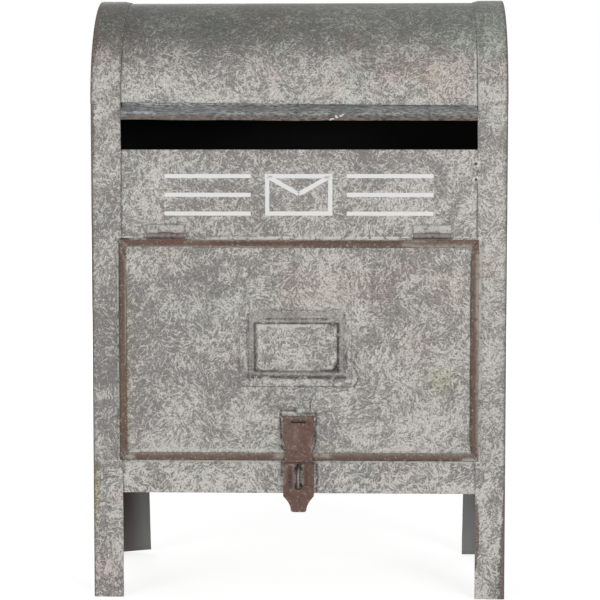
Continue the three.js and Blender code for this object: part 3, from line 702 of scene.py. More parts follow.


# Dark lines of dirt and of painted shade in gaps and under edges, lines of flux or rubbing (pale) and rust
# (ochre), by where they lie. For each line: strength, width, and the points across and up that it runs
# through, in millimetres.
LINES = {
    "door": {
        "grime_and_shade": (
            (1, 0.45, -17.9, 183, 0.9, 183.3, 8.4, 183.3), (0.9, 0.45, 20.3, 183.6, 27.2, 183.8),
            (0.6, 0.5, 14.7, 185, 19.7, 184.6),
            (1, 0.5, 36.9, 157.2, 34.7, 152.1, 34.4, 147.7, 37.3, 143.3, 37, 138.9, 34.8, 135.1),
            (0.6, 0.45, -38.2, 170.8, -38.6, 161.3, -37.3, 154.4, -37, 146.8),
            (0.5, 0.5, -1.6, 136.9, 1.6, 134.4, 5.9, 135.3),
            (1.3, 0.6, -11, 121, -11, 116, -11.7, 110.9, -10.7, 101.4), (1.3, 0.7, -11, 97.6, -8.8, 95.1),
            (1.2, 0.55, -11, 119.8, -7.9, 120.7), (1.2, 0.5, -7.2, 119.8, -1.6, 120.1),
            (1.2, 0.6, 4.1, 118.3, 11.3, 118.3), (1.2, 0.6, 7.4, 126.8, 7.4, 119.8),
            (0.9, 0.6, -2.5, 121.7, -1.6, 119.2), (1.3, 0.6, 11, 118, 11, 111.6, 9.7, 107.8),
            (1.1, 0.6, 10.7, 106.6, 10.4, 97.7, 8.8, 94.5), (0.7, 0.5, 10.4, 95, 22.3, 95.2),
            (0.5, 0.5, -10.4, 123.6, -11, 119.8), (0.4, 0.5, 12.2, 123.7, 11, 118.6),
        ),
        "pale": (
            (0.8, 0.8, -107, 95, -14, 95), (0.8, 0.8, 13, 95.1, 106, 95.2),
            (1, 0.7, 29.7, 179.8, 30.1, 171, 29.8, 164.7, 29.4, 157.1),
            (0.9, 0.8, 33.8, 141.4, 34.8, 145.8),
            (1, 0.7, 5.9, 186.3, 12.8, 184.2, 20.3, 186, 26.5, 184.5),
            (0.8, 0.7, -36.4, 159.4, -33, 149.4, -33, 143.7), (0.8, 0.8, -16.6, 185.6, -9.7, 186.2),
            (0.8, 0.8, 12.2, 114.2, 12.2, 105.9), (0.9, 0.8, -9.4, 118.8, -3.5, 118.5),
            (0.9, 0.8, 0.3, 119.8, 3.4, 120.5), (0.9, 0.9, -14.2, 91.9, -9.5, 94.7),
            (0.7, 0.7, -33, 133, -22.9, 132.4),
        ),
        "ochre": (
            (0.4, 0.9, -107.4, 215.8, -107.7, 188), (1, 0.9, -107.7, 188, -108.1, 91.4),
        ),
    },
    "rails": {
        "grime_and_shade": (
            (0.9, 0.5, 107, 221.2, 108.1, 92.6), (0.8, 0.55, -111.8, 220.9, -112.6, 91.5),
            # The lines along the bottom rail's lower edge, 88.5 to 89 mm up, are painted shadow under the
            # rail.
            (0.7, 0.5, -104.4, 88.5, -14.1, 88.6), (0.8, 0.6, 9.8, 88.6, 22.3, 89),
            (0.7, 0.5, 22.3, 89, 106.3, 89.1), (0.9, 0.9, -110, 222.4, -109.9, 219),
            (0.8, 0.7, 1, 226.3, 61.9, 226.1), (0.7, 0.7, -52.1, 225.3, 1, 225.1),
        ),
        "pale": (
            (0.38, 1.7, -107, 93.2, -14, 93.4), (0.38, 1.7, 12, 93.2, 106, 93.2),
            (0.75, 1.5, 65.7, 224.3, 75.6, 223.3, 106.6, 223.4), (0.6, 1.2, 68.1, 226.8, 78.1, 226.8),
            (0.8, 0.5, -66.5, 227.4, 63.2, 227.4), (0.7, 0.45, -70, 223, 1, 222.6),
            (0.9, 0.8, -107, 222.6, -70, 222.9), (0.8, 0.8, -108, 216, -108.2, 150),
            (1, 0.5, -112.8, 228, -107.5, 222.7), (1, 0.5, -107.5, 224.9, -111.6, 220.9),
            (0.8, 1.2, 111.5, 218, 111.6, 170), (0.5, 1, 111.8, 170, 112.2, 98),
            (1, 1.8, -13.5, 91.4, -9.1, 92), (0.9, 1.6, 9.8, 92.1, 19.2, 91.9),
            (0.9, 1.2, -108.1, 90.9, -105.9, 89.6), (0.5, 0.6, -111, 220.9, -108.5, 213.4),
            (0.6, 0.5, -112.5, 93.4, -110, 89.6), (0.6, 0.5, 107.5, 93.9, 112.6, 88.9),
            (1.2, 1.5, 103.5, 89, 113.2, 89.4), (1.1, 2, -108, 91.6, -105.4, 90.6),
        ),
        "ochre": (
            (1, 1.1, 111.4, 218.1, 112.1, 97.1), (0.8, 1, 78.1, 226.3, 93, 226.2),
            (0.35, 2.5, -110.3, 170, -110.8, 91.5), (0.6, 2, 107.5, 92, 88.8, 91.3),
            (0.4, 2, -74.6, 90.4, -30.5, 90.7),
        ),
    },
    "card holder plate": {
        "grime_and_shade": (
            # The three lines along 141 mm up, under the frame, are painted shadow cast by the frame.
            (1.1, 0.8, -31.7, 141.1, -22.9, 141), (1.1, 1, -17.9, 141.2, 2.8, 140.9),
            (1.1, 1.2, 6, 141.2, 29.1, 140.9), (0.9, 0.45, -34.8, 135.3, -5.3, 135.2),
            (0.8, 0.45, -2.2, 135.5, 12.2, 135.2), (0.9, 0.45, 13.5, 135.4, 34.2, 135.3),
            (0.9, 0.6, 29.9, 157.3, 29.9, 149.7, 31.3, 145.3), (0.7, 0.5, -32.5, 171.5, -32.4, 161.5),
            (0.7, 0.5, -32, 143.2, -31.3, 139.4), (0.8, 0.6, 31.6, 140.6, 34.1, 140.6),
            (1, 0.7, 24.5, 174.8, 24.6, 145.3), (1.25, 1.5, 22.2, 145.7, 24.7, 149.7),
            (1.1, 1.1, 13.5, 145.1, 24.7, 145.5), (1.1, 1, -26.6, 145.1, -14.1, 145),
            (0.8, 0.45, -26.6, 145.2, 24.7, 145.2), (0.8, 0.5, -27.2, 174.7, -27.1, 145.1),
            (0.8, 1, 20.3, 174.3, 24.7, 174.3),
        ),
        "pale": (
            (1.1, 1, -25.6, 173.3, -16.6, 173.4, 3.5, 173.3, 14, 173.5), (1.1, 0.8, 23, 173.6, 23, 169.8),
            (1.1, 0.8, 23, 154.7, 20.7, 148.1, 17.2, 146.8), (1.1, 1, -24.6, 173.4, -24.3, 150.4),
            (0.6, 0.6, -22.9, 145.7, 12.2, 145.9), (0.9, 0.9, 28.8, 171.1, 29.4, 157.3),
            (0.9, 0.8, -25.4, 137.5, -19.1, 138.8), (1, 0.9, 4.7, 138, 13.5, 139.3),
            (0.9, 0.9, 24.1, 136.8, 32.3, 140), (0.8, 0.8, -14.7, 137.9, -4.1, 138.3),
            (0.7, 0.8, -34.1, 158.3, -32.3, 144.5),
        ),
    },
    "card holder frame": {
        "grime_and_shade": (
            (1.3, 0.5, -27.4, 175.4, 24.8, 175.4), (1, 0.45, -27.6, 175.4, -27.5, 144.9),
            (1.2, 0.7, 24.9, 175.4, 25, 144.9), (0.9, 0.45, -27.4, 144.8, 24.8, 144.8),
            (1, 0.5, -19.6, 178, 18.4, 178.1), (0.9, 0.7, -31.5, 182, -31.3, 168),
            (0.6, 0.6, -31.3, 168, -31.2, 142.5), (0.9, 0.8, -31, 142.2, 29, 142.1),
            (0.6, 0.5, 28.5, 182, 28.6, 143),
        ),
    },
    "front panel": {
        "grime_and_shade": (
            (0.8, 0.6, -70.5, 228.6, -62, 229.1, -46.7, 229.3), (0.7, 0.6, -36.7, 229.1, -26.7, 229.3),
            # The broad line at -0.3 mm across, 70.8 to 86 mm up, is painted shadow on the panel behind the
            # strap's slot.
            (1.25, 1.9, -0.3, 70.8, -0.3, 86), (1.2, 0.6, 11.5, 85.7, 11.9, 76.8, 11.2, 68.5),
            (0.5, 0.4, -21.9, 77.2, -15.6, 78.2, -9.9, 79.8),
            (0.6, 0.5, -19.4, 84.6, -15.6, 82.3, -10.6, 81.7), (1.1, 0.6, -10.9, 87.5, -10.6, 77.9),
            (0.5, 0.5, -18.2, 73.4, -9.9, 70.9),
        ),
        "pale": (
            (0.9, 0.7, -19.4, 86.2, -10.6, 85.9), (0.9, 0.7, 10.9, 86.3, 22.3, 86.1),
            (0.8, 0.7, -9.3, 85.6, -9.3, 78.6), (0.7, 0.7, 12.5, 84.4, 12.8, 75.5),
        ),
    },
    "roof": {
        "pale": (
            (1, 0.6, 109.3, 347, 109.7, 336, 109.6, 324, 110, 311), (0.7, 0.9, 108.6, 318, 109.4, 311),
        ),
    },
    "hood": {
        "pale": (
            (1, 0.4, 19.7, 301.7, 23.4, 302.9, 27.6, 304.8), (1, 0.4, 22.8, 304.5, 24.4, 303.3),
        ),
    },
    "hasp": {
        "grime_and_shade": (
            (0.9, 0.5, -9.4, 103.5, -8.4, 96), (0.7, 0.9, -5.6, 84, -5.2, 72), (0.6, 0.6, 5, 85, 4.8, 72),
            (0.7, 0.5, -6.5, 112.2, 6.5, 112.3), (0.5, 0.6, -1, 104, 4.5, 101.5),
            (0.6, 0.5, -7.8, 67.5, -3, 64.8),
        ),
        "pale": (
            # The first line here, across the strap at 87 mm up, is painted light that lifts the shade in
            # the strap's joggle.
            (0.5, 0.6, -8, 87, 8, 87), (0.3, 0.9, -7.5, 116.6, 7.5, 116.6),
            (0.55, 0.5, -3.3, 85.5, -3.3, 72.5), (0.6, 0.5, 2.7, 86, 2.8, 73.5),
            (0.5, 0.7, -3.1, 86.2, -1, 86.9), (0.22, 1.6, -2.2, 112, -1.4, 103),
            (0.35, 1, -9, 84, -8.6, 74), (0.35, 0.7, 8.2, 104, 7.8, 98), (0.5, 0.6, -5, 69, -3.4, 70.6),
            (0.4, 0.5, 3, 68, 4.8, 66.4), (0.5, 0.4, 1.6, 93.4, 3.4, 92.2),
            (0.4, 0.4, -6.6, 98.4, -6, 96.8),
        ),
    },
    "front left leg": {
        "ochre": (
            (1.1, 2, -129, 88, -128.2, 76, -128, 60), (0.8, 1.6, -128.6, 60, -128.8, 47),
        ),
    },
}


def line_measure(lines):
    """How strongly a point on the front is marked by the nearest of the lines."""
    runs = []
    for strength, width, *places in lines:
        ends = [Vector(pair) * MM for pair in zip(places[::2], places[1::2])]
        reach = (2.4 * width + 0.4) * MM
        for start, end in zip(ends, ends[1:]):
            spans = [(min(pair) - reach, max(pair) + reach) for pair in zip(start, end)]
            runs.append((*spans, strength, width * MM, start, end - start))

    def measure(point):
        place = point.xz
        most = 0.0
        for across, up, strength, width, start, along in runs:
            if across[0] < place.x < across[1] and up[0] < place.y < up[1]:
                share = clamp((place - start).dot(along) / along.length_squared)
                drift = noise.noise(point / (1.6 * MM)) * 0.35 * MM
                away = (place - start - along * share).length + drift
                most = max(most, strength * bell(away, width))
        return most

    return measure


def lines_on(where):
    """The measures of all the lines drawn on one piece or group."""
    return {key: line_measure(lines) for key, lines in LINES[where].items()}


# ---------------------------------------------------------------- pieces


class LETTERBOX_OT_legs(bpy.types.Operator):
    """Work the four corner angles, with wandering edges and worn corners"""

    bl_idname = "letter_box.legs"
    bl_label = "Corner angles"

    def execute(self, context):
        for node in ("front_left_leg", "front_right_leg", "rear_left_leg", "rear_right_leg"):
            low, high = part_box(node)
            self.side = 1 if low.x > 0 else -1
            self.inward = 1 if low.y < ARCH_CENTRE.y else -1
            self.corner = Vector((self.side * HALF_WIDTH, low.y if self.inward > 0 else high.y))
            bm = self.worked_angle(node, context.scene.letter_box_form)
            marks = {"wear": self.wear, "grime_and_shade": self.grime_and_shade}
            if node == "front_left_leg":
                marks.update(lines_on("front left leg"))
            skins = [edged_zinc(), plain_steel()]
            finish_piece(bm, skins, "root", "zinc_sheet", node, pick=self.inner_side, fine=1.0, **marks)
        return {"FINISHED"}

    def worked_angle(self, node, form):
        bm, _ = blank(node, form.edge_round, 2)
        low, high = bounds_of(bm)
        width = high.x - low.x
        places = [step * MM for step in (2.1, 2.9, 4.0, 5.6, 8, 11)]
        places += [width - step * MM for step in (4.2, 2.6, 1.6, 0.9, 0.45)]
        slice_mesh(bm, Z, spaced(low.z, high.z, 4 * MM))
        slice_mesh(bm, X, [self.corner.x - self.side * place for place in places])
        slice_mesh(bm, Y, [self.corner.y + self.inward * place for place in places])
        for vert in bm.verts:
            seed = Vector((self.side * 7.3, self.inward * 4.1, vert.co.z / (13 * MM)))
            drift = (0.5 + 0.5 * noise.noise(seed)) * form.wobble
            across = max(0.0, 1 - (width - abs(vert.co.x - self.corner.x)) / (5 * MM))
            along = max(0.0, 1 - (width - abs(vert.co.y - self.corner.y)) / (5 * MM))
            vert.co.x += self.side * (across * drift - along * form.press)
            vert.co.y += self.inward * (across * form.press - along * drift)
        if self.inward < 0:
            self.splay(bm, width)
        return bm

    def splay(self, bm, width):
        """Spreads a rear angle's flange a little towards its foot, the left one more and cut on a slant."""
        left = self.side < 0
        for vert in bm.verts:
            share = abs(vert.co.x - self.corner.x) / width
            start = 1.2 * clamp(5 * (1.2 - vert.co.z / FOOT)) if left else 0.0
            down = clamp(1 - vert.co.z / FOOT) * (1.5 if left else 1.0)
            vert.co.x -= self.side * share * (start + down) * MM
            if left:
                vert.co.z += share * max(0.0, 1 - vert.co.z / (9 * MM)) * 2.1 * MM

    def inner_side(self, face):
        """1 for the plain faces inside the angle, else 0."""
        return int(face.normal.x * self.side <= 0.3 and face.normal.y * self.inward >= -0.3)

    def from_corner(self, point):
        return (point.xy - self.corner).length

    def from_edge(self, point):
        return max(0.0, LEG_WIDTH - abs(point.x - self.corner.x))

    def wear(self, point):
        """Brown down the corner, and on the front right also at the inner edge near the foot."""
        height = point.z / FOOT
        if self.side < 0:
            reach = 1.0 + 0.8 * clamp(height - 2) + 1.3 * clamp((height - 4) / 0.4)
        else:
            reach = 0.6 + 5.4 * min(0.8, clamp(1.15 - height))
        value = bell(self.from_corner(point), reach * MM)
        if self.side > 0 and self.inward > 0:
            value = max(value, 1.6 * bell(height - 0.62, 0.33) * bell(self.from_edge(point), 2.7 * MM))
        return value

    def grime_and_shade(self, point):
        """Darker down the corner, partly dirt and partly painted shade on the rounded corner, and on the
        front also a painted shade line at the inner edge above the door.
        """
        strength, low = 1.0, 0.0
        if self.side < 0:
            strength, low = 0.5, clamp((112 * MM - point.z) / (30 * MM))
        value = (strength + 0.6 * low) * bell(self.from_corner(point), (1.5 - 0.5 * low) * MM)
        if self.inward > 0 and RIM_HIGH.z < point.z < SEAM_MARK_TOP:
            value = max(value, (0.35 + 0.65 * strength) * bell(self.from_edge(point), 0.6 * MM))
        return value


class LETTERBOX_OT_arches(bpy.types.Operator):
    """Bend the barrel roof and the two strips over its edges"""

    bl_idname = "letter_box.arches"
    bl_label = "Roof and arch strips"

    def execute(self, context):
        form = context.scene.letter_box_form
        self.side = 0
        bm = self.ring(form, ROOF_LOW.x, ROOF_HIGH.x, (ROOF_HIGH.y - ROOF_LOW.y) / 2)
        slice_mesh(bm, X, spaced(SEAM - 3 * MM, SEAM, 0.5 * MM))
        skins, marks = [zinc_sheet(), cavity_shade()], lines_on("roof")
        finish_piece(bm, skins, "root", "zinc_sheet", "roof_barrel", "roof_sheet", faces_inside, **marks)
        for self.side, node in ((-1, "left_arch_strip"), (1, "right_arch_strip")):
            bm = self.ring(form, *sorted((self.side * HALF_WIDTH, self.side * SEAM)), ARCH_RADIUS)
            self.press_down(form, bm)
            skins = [edged_zinc(), cavity_shade()]
            marks = {"wear": self.wear, "pale": self.pale, "grime_and_shade": self.grime_and_shade}
            finish_piece(bm, skins, "root", "zinc_sheet", node, pick=faces_inside, fine=1.0, **marks)
        return {"FINISHED"}

    def ring(self, form, left, right, radius):
        """A half ring of sheet from the front spring line over the top to the rear one."""
        bm = bmesh.new()
        bmesh.ops.create_grid(bm, x_segments=1, y_segments=1, size=0.5)
        bmesh.ops.scale(bm, vec=(right - left, form.sheet, 1), verts=bm.verts)
        place = Vector(((left + right) / 2, ARCH_CENTRE.y - radius + form.sheet / 2, SPRING))
        bmesh.ops.translate(bm, vec=place, verts=bm.verts)
        section = [*bm.verts, *bm.edges, *bm.faces]
        bmesh.ops.spin(bm, geom=section, cent=ARCH_CENTRE, axis=(-1, 0, 0), angle=math.pi, steps=72)
        bmesh.ops.recalc_face_normals(bm, faces=bm.faces)
        round_edges(bm, form.edge_round, 2)
        near_ends = [0.6 * MM, 1.3 * MM, 2.2 * MM, 3.4 * MM]
        slice_mesh(bm, X, [left + step for step in near_ends] + [right - step for step in near_ends])
        slice_mesh(bm, X, spaced(left + near_ends[-1], right - near_ends[-1], 7 * MM))
        for vert in bm.verts:
            wave = noise.noise(vert.co / form.wave_length) * form.wave
            vert.co += from_axis(vert.co).normalized() * 0.5 * (wave - form.wave)
            if radius < ARCH_RADIUS and vert.co.y < ARCH_CENTRE.y:
                near = max(0.0, 1 - (vert.co.z - SPRING) / (14 * MM))
                vert.co.z -= near * (0.3 * MM + form.tilt * vert.co.x / HALF_WIDTH)
        return bm

    def press_down(self, form, bm):
        """Thins a strip's inner edge, presses it onto the roof, and closes its joint with the angles."""
        for vert in bm.verts:
            out = from_axis(vert.co)
            near = max(0.0, 1 - (abs(vert.co.x) - SEAM) / (3.6 * MM))
            turn = math.degrees(math.atan2(out.z, -out.y))
            amount = clamp((min(turn, 180 - turn) - 24) / 14)
            outer = max(0.0, (out.length - ARCH_RADIUS + form.sheet) / form.sheet)
            drop = form.press + amount * outer * (form.sheet - 0.3 * MM)
            vert.co -= out.normalized() * near * drop
        for vert in bm.verts:
            vert.co.z -= max(0.0, 1 - (vert.co.z - SPRING) / (4 * MM)) * 0.36 * MM

    def wear(self, point):
        """Brown on the outer edge, widest over the front shoulder of the left strip."""
        out = from_axis(point)
        shoulder = bell(math.degrees(math.atan2(out.z, -out.y)) - 38, 14)
        reach = 1.1 + 4.0 * shoulder if self.side < 0 else 0.9
        return bell(HALF_WIDTH - abs(point.x), reach * MM)

    def grime_and_shade(self, point):
        """Painted shade along the outer edge where the sheet folds round, more on the right, and a painted
        shade line down the seam near the front spring line.
        """
        value = bell(HALF_WIDTH - abs(point.x), 1.7 * MM) * (0.6 if self.side < 0 else 1.0)
        if point.y < ARCH_CENTRE.y and point.z < SPRING + 30 * MM:
            value = max(value, 0.8 * bell(abs(point.x) - SEAM, 0.5 * MM))
        return value

    def pale(self, point):
        """A bright rubbed line down the right strip's inner edge, near the front spring line."""
        if self.side < 0 or point.y > ARCH_CENTRE.y or point.z > SPRING + 33 * MM:
            return 0.0
        return bell(abs(point.x) - SEAM, 0.8 * MM)


class LETTERBOX_OT_panels(bpy.types.Operator):
    """Work the side, front, back and floor panels"""

    bl_idname = "letter_box.panels"
    bl_label = "Body panels"

    def execute(self, context):
        edge_round = context.scene.letter_box_form.edge_round
        inside = cavity_shade()
        sides = (("left_side", X, Y), ("right_side", X, Y), ("front", Y, X), ("back", Y, X))
        for side, out, across in sides:
            node = f"{side}_panel"
            bm, _ = blank(node, edge_round, 2, (Z, 8), (across, 8))
            bend_sheet(bm, out)
            skin, marks = zinc_sheet(), {}
            if side == "front":
                skin = zinc_sheet("Zinc sheet round the door", round_door=True)
                marks = lines_on("front panel")
                slice_mesh(bm, X, spaced(-30 * MM, 32 * MM, 0.8 * MM))
                slice_mesh(bm, Z, spaced(FOOT, DOOR_LOW.z + 4 * MM, 0.8 * MM))
                slice_mesh(bm, Z, spaced(RIM_HIGH.z, RIM_HIGH.z + 4 * MM, 0.6 * MM))
            finish_piece(bm, [skin, inside], "root", "zinc_sheet", node, pick=faces_inside, **marks)
        bm, _ = blank("floor_panel", edge_round, 2)
        finish_piece(bm, [zinc_sheet(), inside], "root", "zinc_sheet", "floor_panel", pick=faces_inside)
        return {"FINISHED"}


class LETTERBOX_OT_sign(bpy.types.Operator):
    """Paint a plain envelope between rules above the door"""

    bl_idname = "letter_box.sign"
    bl_label = "Painted sign"

    def execute(self, context):
        bm = bmesh.new()
        middle = Vector((0, PANEL_LOW.y, (RIM_HIGH.z + SPRING - 29 * MM) / 2))
        self.envelope(bm, middle, 42 * MM, 26 * MM, 2.7 * MM)
        for side in (-1, 1):
            for step in (-1, 0, 1):
                place = middle + Vector((side * 57 * MM, 0, step * 11.7 * MM))
                self.bar(bm, place, 54 * MM, 2.6 * MM, 0.0)
        self.film(bm)
        finish_piece(bm, [sign_paint()], "root", "zinc_sheet", name="painted_sign")
        return {"FINISHED"}

    def bar(self, bm, centre, length, width, turn, cells=None):
        """One brush stroke, cut across so that it can follow the sheet's waves."""
        cells = cells or max(1, round(length / (3 * MM)))
        shape = Matrix.Rotation(math.pi / 2, 4, "X") @ Matrix.Diagonal((length / 2, width / 2, 1, 1))
        place = Matrix.Translation(centre) @ Matrix.Rotation(turn, 4, "Y") @ shape
        bmesh.ops.create_grid(bm, x_segments=cells, y_segments=1, size=1, matrix=place)

    def envelope(self, bm, middle, width, height, stroke):
        """An outlined rectangle with the two slanting lines of its flap."""
        self.bar(bm, middle, width, height, 0.0, 1)
        whole = list(bm.faces)
        bmesh.ops.inset_region(bm, faces=whole, thickness=stroke, use_boundary=True, use_even_offset=True)
        bmesh.ops.delete(bm, geom=whole, context="FACES_ONLY")
        reach, drop = width / 2 - stroke * 0.6, height * 0.42
        for side in (-1, 1):
            centre = middle + Vector((side * reach / 2, 0, height / 2 - stroke * 0.6 - drop / 2))
            self.bar(bm, centre, math.hypot(reach, drop), stroke, -side * math.atan2(drop, reach))

    def film(self, bm):
        """Gives the paint its thickness, wandering edges and the panel's waves."""
        low, high = bounds_of(bm)
        for axis in (X, Z):
            slice_mesh(bm, axis, spaced(low[axis], high[axis], 2 * MM))
        for vert in bm.verts:
            place = vert.co / (2.1 * MM)
            vert.co.z += 0.16 * MM * noise.noise(place)
            vert.co.x += 0.16 * MM * noise.noise(place + Vector((9, 9, 9)))
            vert.co.y = PANEL_LOW.y
        bend_sheet(bm, Y)
        bmesh.ops.recalc_face_normals(bm, faces=bm.faces)
        made = bmesh.ops.extrude_face_region(bm, geom=list(bm.faces))["geom"]
        front = [item for item in made if isinstance(item, bmesh.types.BMVert)]
        bmesh.ops.translate(bm, vec=(0, -0.14 * MM, 0), verts=front)
        bmesh.ops.recalc_face_normals(bm, faces=bm.faces)


class LETTERBOX_OT_solder(bpy.types.Operator):
    """Drop the blobs of solder along the seams and round the card holder"""

    bl_idname = "letter_box.solder"
    bl_label = "Solder"

    def execute(self, context):
        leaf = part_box("left_hinge_frame_leaf")[0] / MM
        front = LEG_LOW.y / MM + 0.4
        seam = SEAM / MM
        body = (
            (leaf.x + 0.9, leaf.y + 1.2, leaf.z + 2.9, 0.9),
            (seam - 0.9, front, 274.6, 3.0),
            (seam - 0.7, front, 264.8, 2.6),
            (0.6 - seam, front, 98, 1.8),
        )
        self.blobs("seam_solder", body, "root")
        face = PLATE_LOW.y / MM
        low, high = (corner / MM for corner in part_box("card_holder_frame"))
        holder = (
            (high.x + 0.6, face, high.z - 2.0, 1.5),
            (high.x + 0.9, face, low.z + 2.5, 1.3),
            (low.x - 0.8, face, high.z - 1.5, 1.2),
            (low.x + 4, face, low.z - 0.8, 1.1),
        )
        self.blobs("card_holder_solder", holder, "door")
        return {"FINISHED"}

    def blobs(self, name, spots, body):
        """Flattened lumps, each with a dark pit of painted shade, at places and of radii in millimetres."""
        spots = [(Vector(place) * MM, radius * MM) for *place, radius in spots]
        bm = bmesh.new()
        for centre, radius in spots:
            drop = bmesh.ops.create_icosphere(bm, subdivisions=3, radius=radius)["verts"]
            bmesh.ops.scale(bm, vec=(1, 0.22, 1.15), verts=drop)
            for vert in drop:
                vert.co *= 1 + 0.45 * noise.noise(vert.co / (1.3 * MM) + centre * 400)
            bmesh.ops.translate(bm, vec=centre, verts=drop)

        def pit(point):
            return max(bell((point - place).xz.length, 0.45 * radius) for place, radius in spots)

        finish_piece(bm, [dull_solder()], body, "bare_steel", name=name, wear=pit)


class LETTERBOX_OT_hood(bpy.types.Operator):
    """Fold the fixed hood over the letter slot"""

    bl_idname = "letter_box.hood"
    bl_label = "Slot hood"

    def execute(self, context):
        form = context.scene.letter_box_form
        bm = cad_copy("slot_hood")
        round_edges(bm, form.fold_round, 4, (25, 85))
        round_edges(bm, form.edge_round, 2, (86, 181))
        low, high = bounds_of(bm)
        slice_mesh(bm, X, spaced(low.x, high.x, 5 * MM) + spaced(16 * MM, 32 * MM, 0.6 * MM))
        slice_mesh(bm, Z, spaced(low.z, high.z, 0.9 * MM))
        for vert in bm.verts:
            along = vert.co.x / (26 * MM)
            vert.co.z += 0.30 * MM * noise.noise(Vector((along, 3.1, 0.4)))
            if vert.co.z < low.z + 6 * MM:
                vert.co.z += 1.0 * MM * max(0.0, -vert.co.x / HALF_WIDTH) ** 1.2
            vert.co.y += 0.30 * MM * (noise.noise(Vector((along * 1.3, 9.7, 0.4))) + 0.2)
        finish_piece(bm, [hood_finish()], "root", "worn_trim", "slot_hood", **lines_on("hood"))
        return {"FINISHED"}


class LETTERBOX_OT_door(bpy.types.Operator):
    """Work the door sheet and the rails round its edge"""

    bl_idname = "letter_box.door"
    bl_label = "Door"

    def execute(self, context):
        bm = cad_copy("door_panel")
        low, high = bounds_of(bm)
        coarse = spaced(low.z, high.z, 8 * MM)
        holder = spaced(PLATE_LOW.z - 4 * MM, PLATE_HIGH.z + 5 * MM, 0.7 * MM)
        slice_mesh(bm, Z, coarse + holder + spaced(low.z, low.z + 34 * MM, 0.7 * MM))
        slice_mesh(bm, X, spaced(PLATE_LOW.x - 4 * MM, PLATE_HIGH.x + 6 * MM, 0.7 * MM))
        slice_mesh(bm, X, spaced(low.x, high.x, 8 * MM) + [low.x + 3.6 * MM, low.x + 4.8 * MM])
        bend_sheet(bm, Y)
        lines = lines_on("door")
        patches = patches_at(PATCHES["ochre"])
        middle = (low.y + high.y) / 2
        marks = {
            "grime_and_shade": lambda point: lines["grime_and_shade"](point) if point.y < middle else 0.0,
            "pale": lambda point: lines["pale"](point) if point.y < middle else 0.0,
            "ochre": lambda point: max(patches(point), lines["ochre"](point)),
        }
        finish_piece(bm, [zinc_sheet()], "door", "zinc_sheet", "door_panel", **marks)
        rails = (("top", 0.7, 36), ("right", 1.0, 0), ("bottom", 0.7, 0), ("left", 0.0, 0))
        for place, widen, late in rails:
            self.rail(context.scene.letter_box_form, f"door_rim_{place}", widen * MM, late * MM)
        return {"FINISHED"}

    def rail(self, form, node, widen, late):
        """One rail, widened inwards away from its ends, the top one only past its left end."""
        low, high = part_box(node)
        along, across = (X, Z) if high.x - low.x > high.z - low.z else (Z, X)
        bm, tree = blank(node, 0.32 * MM, 3, (along, 1.3), (across, 0.6))
        low, high = bounds_of(bm)
        middle = (low + high) / 2
        outward = 1 if middle[across] > (0 if across == X else DOOR_MIDDLE) else -1
        for vert in bm.verts:
            place = vert.co[along]
            away = (vert.co[across] - middle[across]) / (high[across] - low[across]) * 2
            out = 1 if away > 0 else -1
            if out != outward:
                inset = min(place - low[along] - late, high[along] - place)
                vert.co[across] -= outward * abs(away) * widen * clamp(inset / (9 * MM) - 0.5)
            slow = noise.noise(Vector((place / (17 * MM), out * 3.7, middle.x * 40)))
            quick = noise.noise(Vector((place / (3.1 * MM), out * 8.2, middle.z * 40)))
            vert.co[across] -= away * (0.62 + 0.5 * slow + 0.55 * quick) * form.wobble
            vert.co.y += 0.16 * MM * noise.noise(Vector((place / (9 * MM), 5.5, out)))
        wear = near_edge(tree, 1.0 * MM)
        finish_piece(bm, [worn_trim()], "door", "worn_trim", node, wear=wear, **lines_on("rails"))


class LETTERBOX_OT_hinges(bpy.types.Operator):
    """Round the door's hinge leaves, worn to brown at their knuckles"""

    bl_idname = "letter_box.hinges"
    bl_label = "Door hinges"

    def execute(self, context):
        low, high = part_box("left_hinge_pin")
        self.axis = ((low + high) / 2).yz
        skins = [worn_trim(), zinc_sheet("Zinc hinge leaf", 0.8)]
        for side, rubbed in (("left", 0.55), ("right", 0.65)):
            for leaf, body, slot in (("frame", "root", "zinc_sheet"), ("door", "door", "worn_trim")):
                node = f"{side}_hinge_{leaf}_leaf"
                bm, tree = blank(node, 0.18 * MM, 2, (X, 0.6), (Z, 0.5))
                outline = near_edge(tree, 0.7 * MM)
                marks = {"wear": near_edge(tree, 0.35 * MM), "grime_and_shade": lambda point: 0.9 * outline(point)}
                marks["pale"] = lambda point: rubbed
                pick = self.past_knuckle if leaf == "frame" else None
                finish_piece(bm, skins, body, slot, node, pick=pick, **marks)
        return {"FINISHED"}

    def past_knuckle(self, face):
        """1 for the faces of the leaf's plate, 0 for those of its knuckle."""
        return int((face.calc_center_median().yz - self.axis).length > 1.9 * MM)


class LETTERBOX_OT_card_holder(bpy.types.Operator):
    """Press the card holder's frame and its backing plate"""

    bl_idname = "letter_box.card_holder"
    bl_label = "Card holder"

    def execute(self, context):
        form = context.scene.letter_box_form
        for part, skin in (("plate", zinc_sheet()), ("frame", zinc_sheet("Card holder frame", 0.35))):
            bm, _ = blank(f"card_holder_{part}", form.edge_round * 1.5, 3, (Z, 0.5), (X, 0.5))
            low, high = bounds_of(bm)
            for vert in bm.verts:
                if vert.co.y > (low.y + high.y) / 2:
                    vert.co.y += form.press
            bend_sheet(bm, Y)
            marks = lines_on(f"card holder {part}")
            finish_piece(bm, [skin], "door", "zinc_sheet", f"card_holder_{part}", **marks)
        return {"FINISHED"}


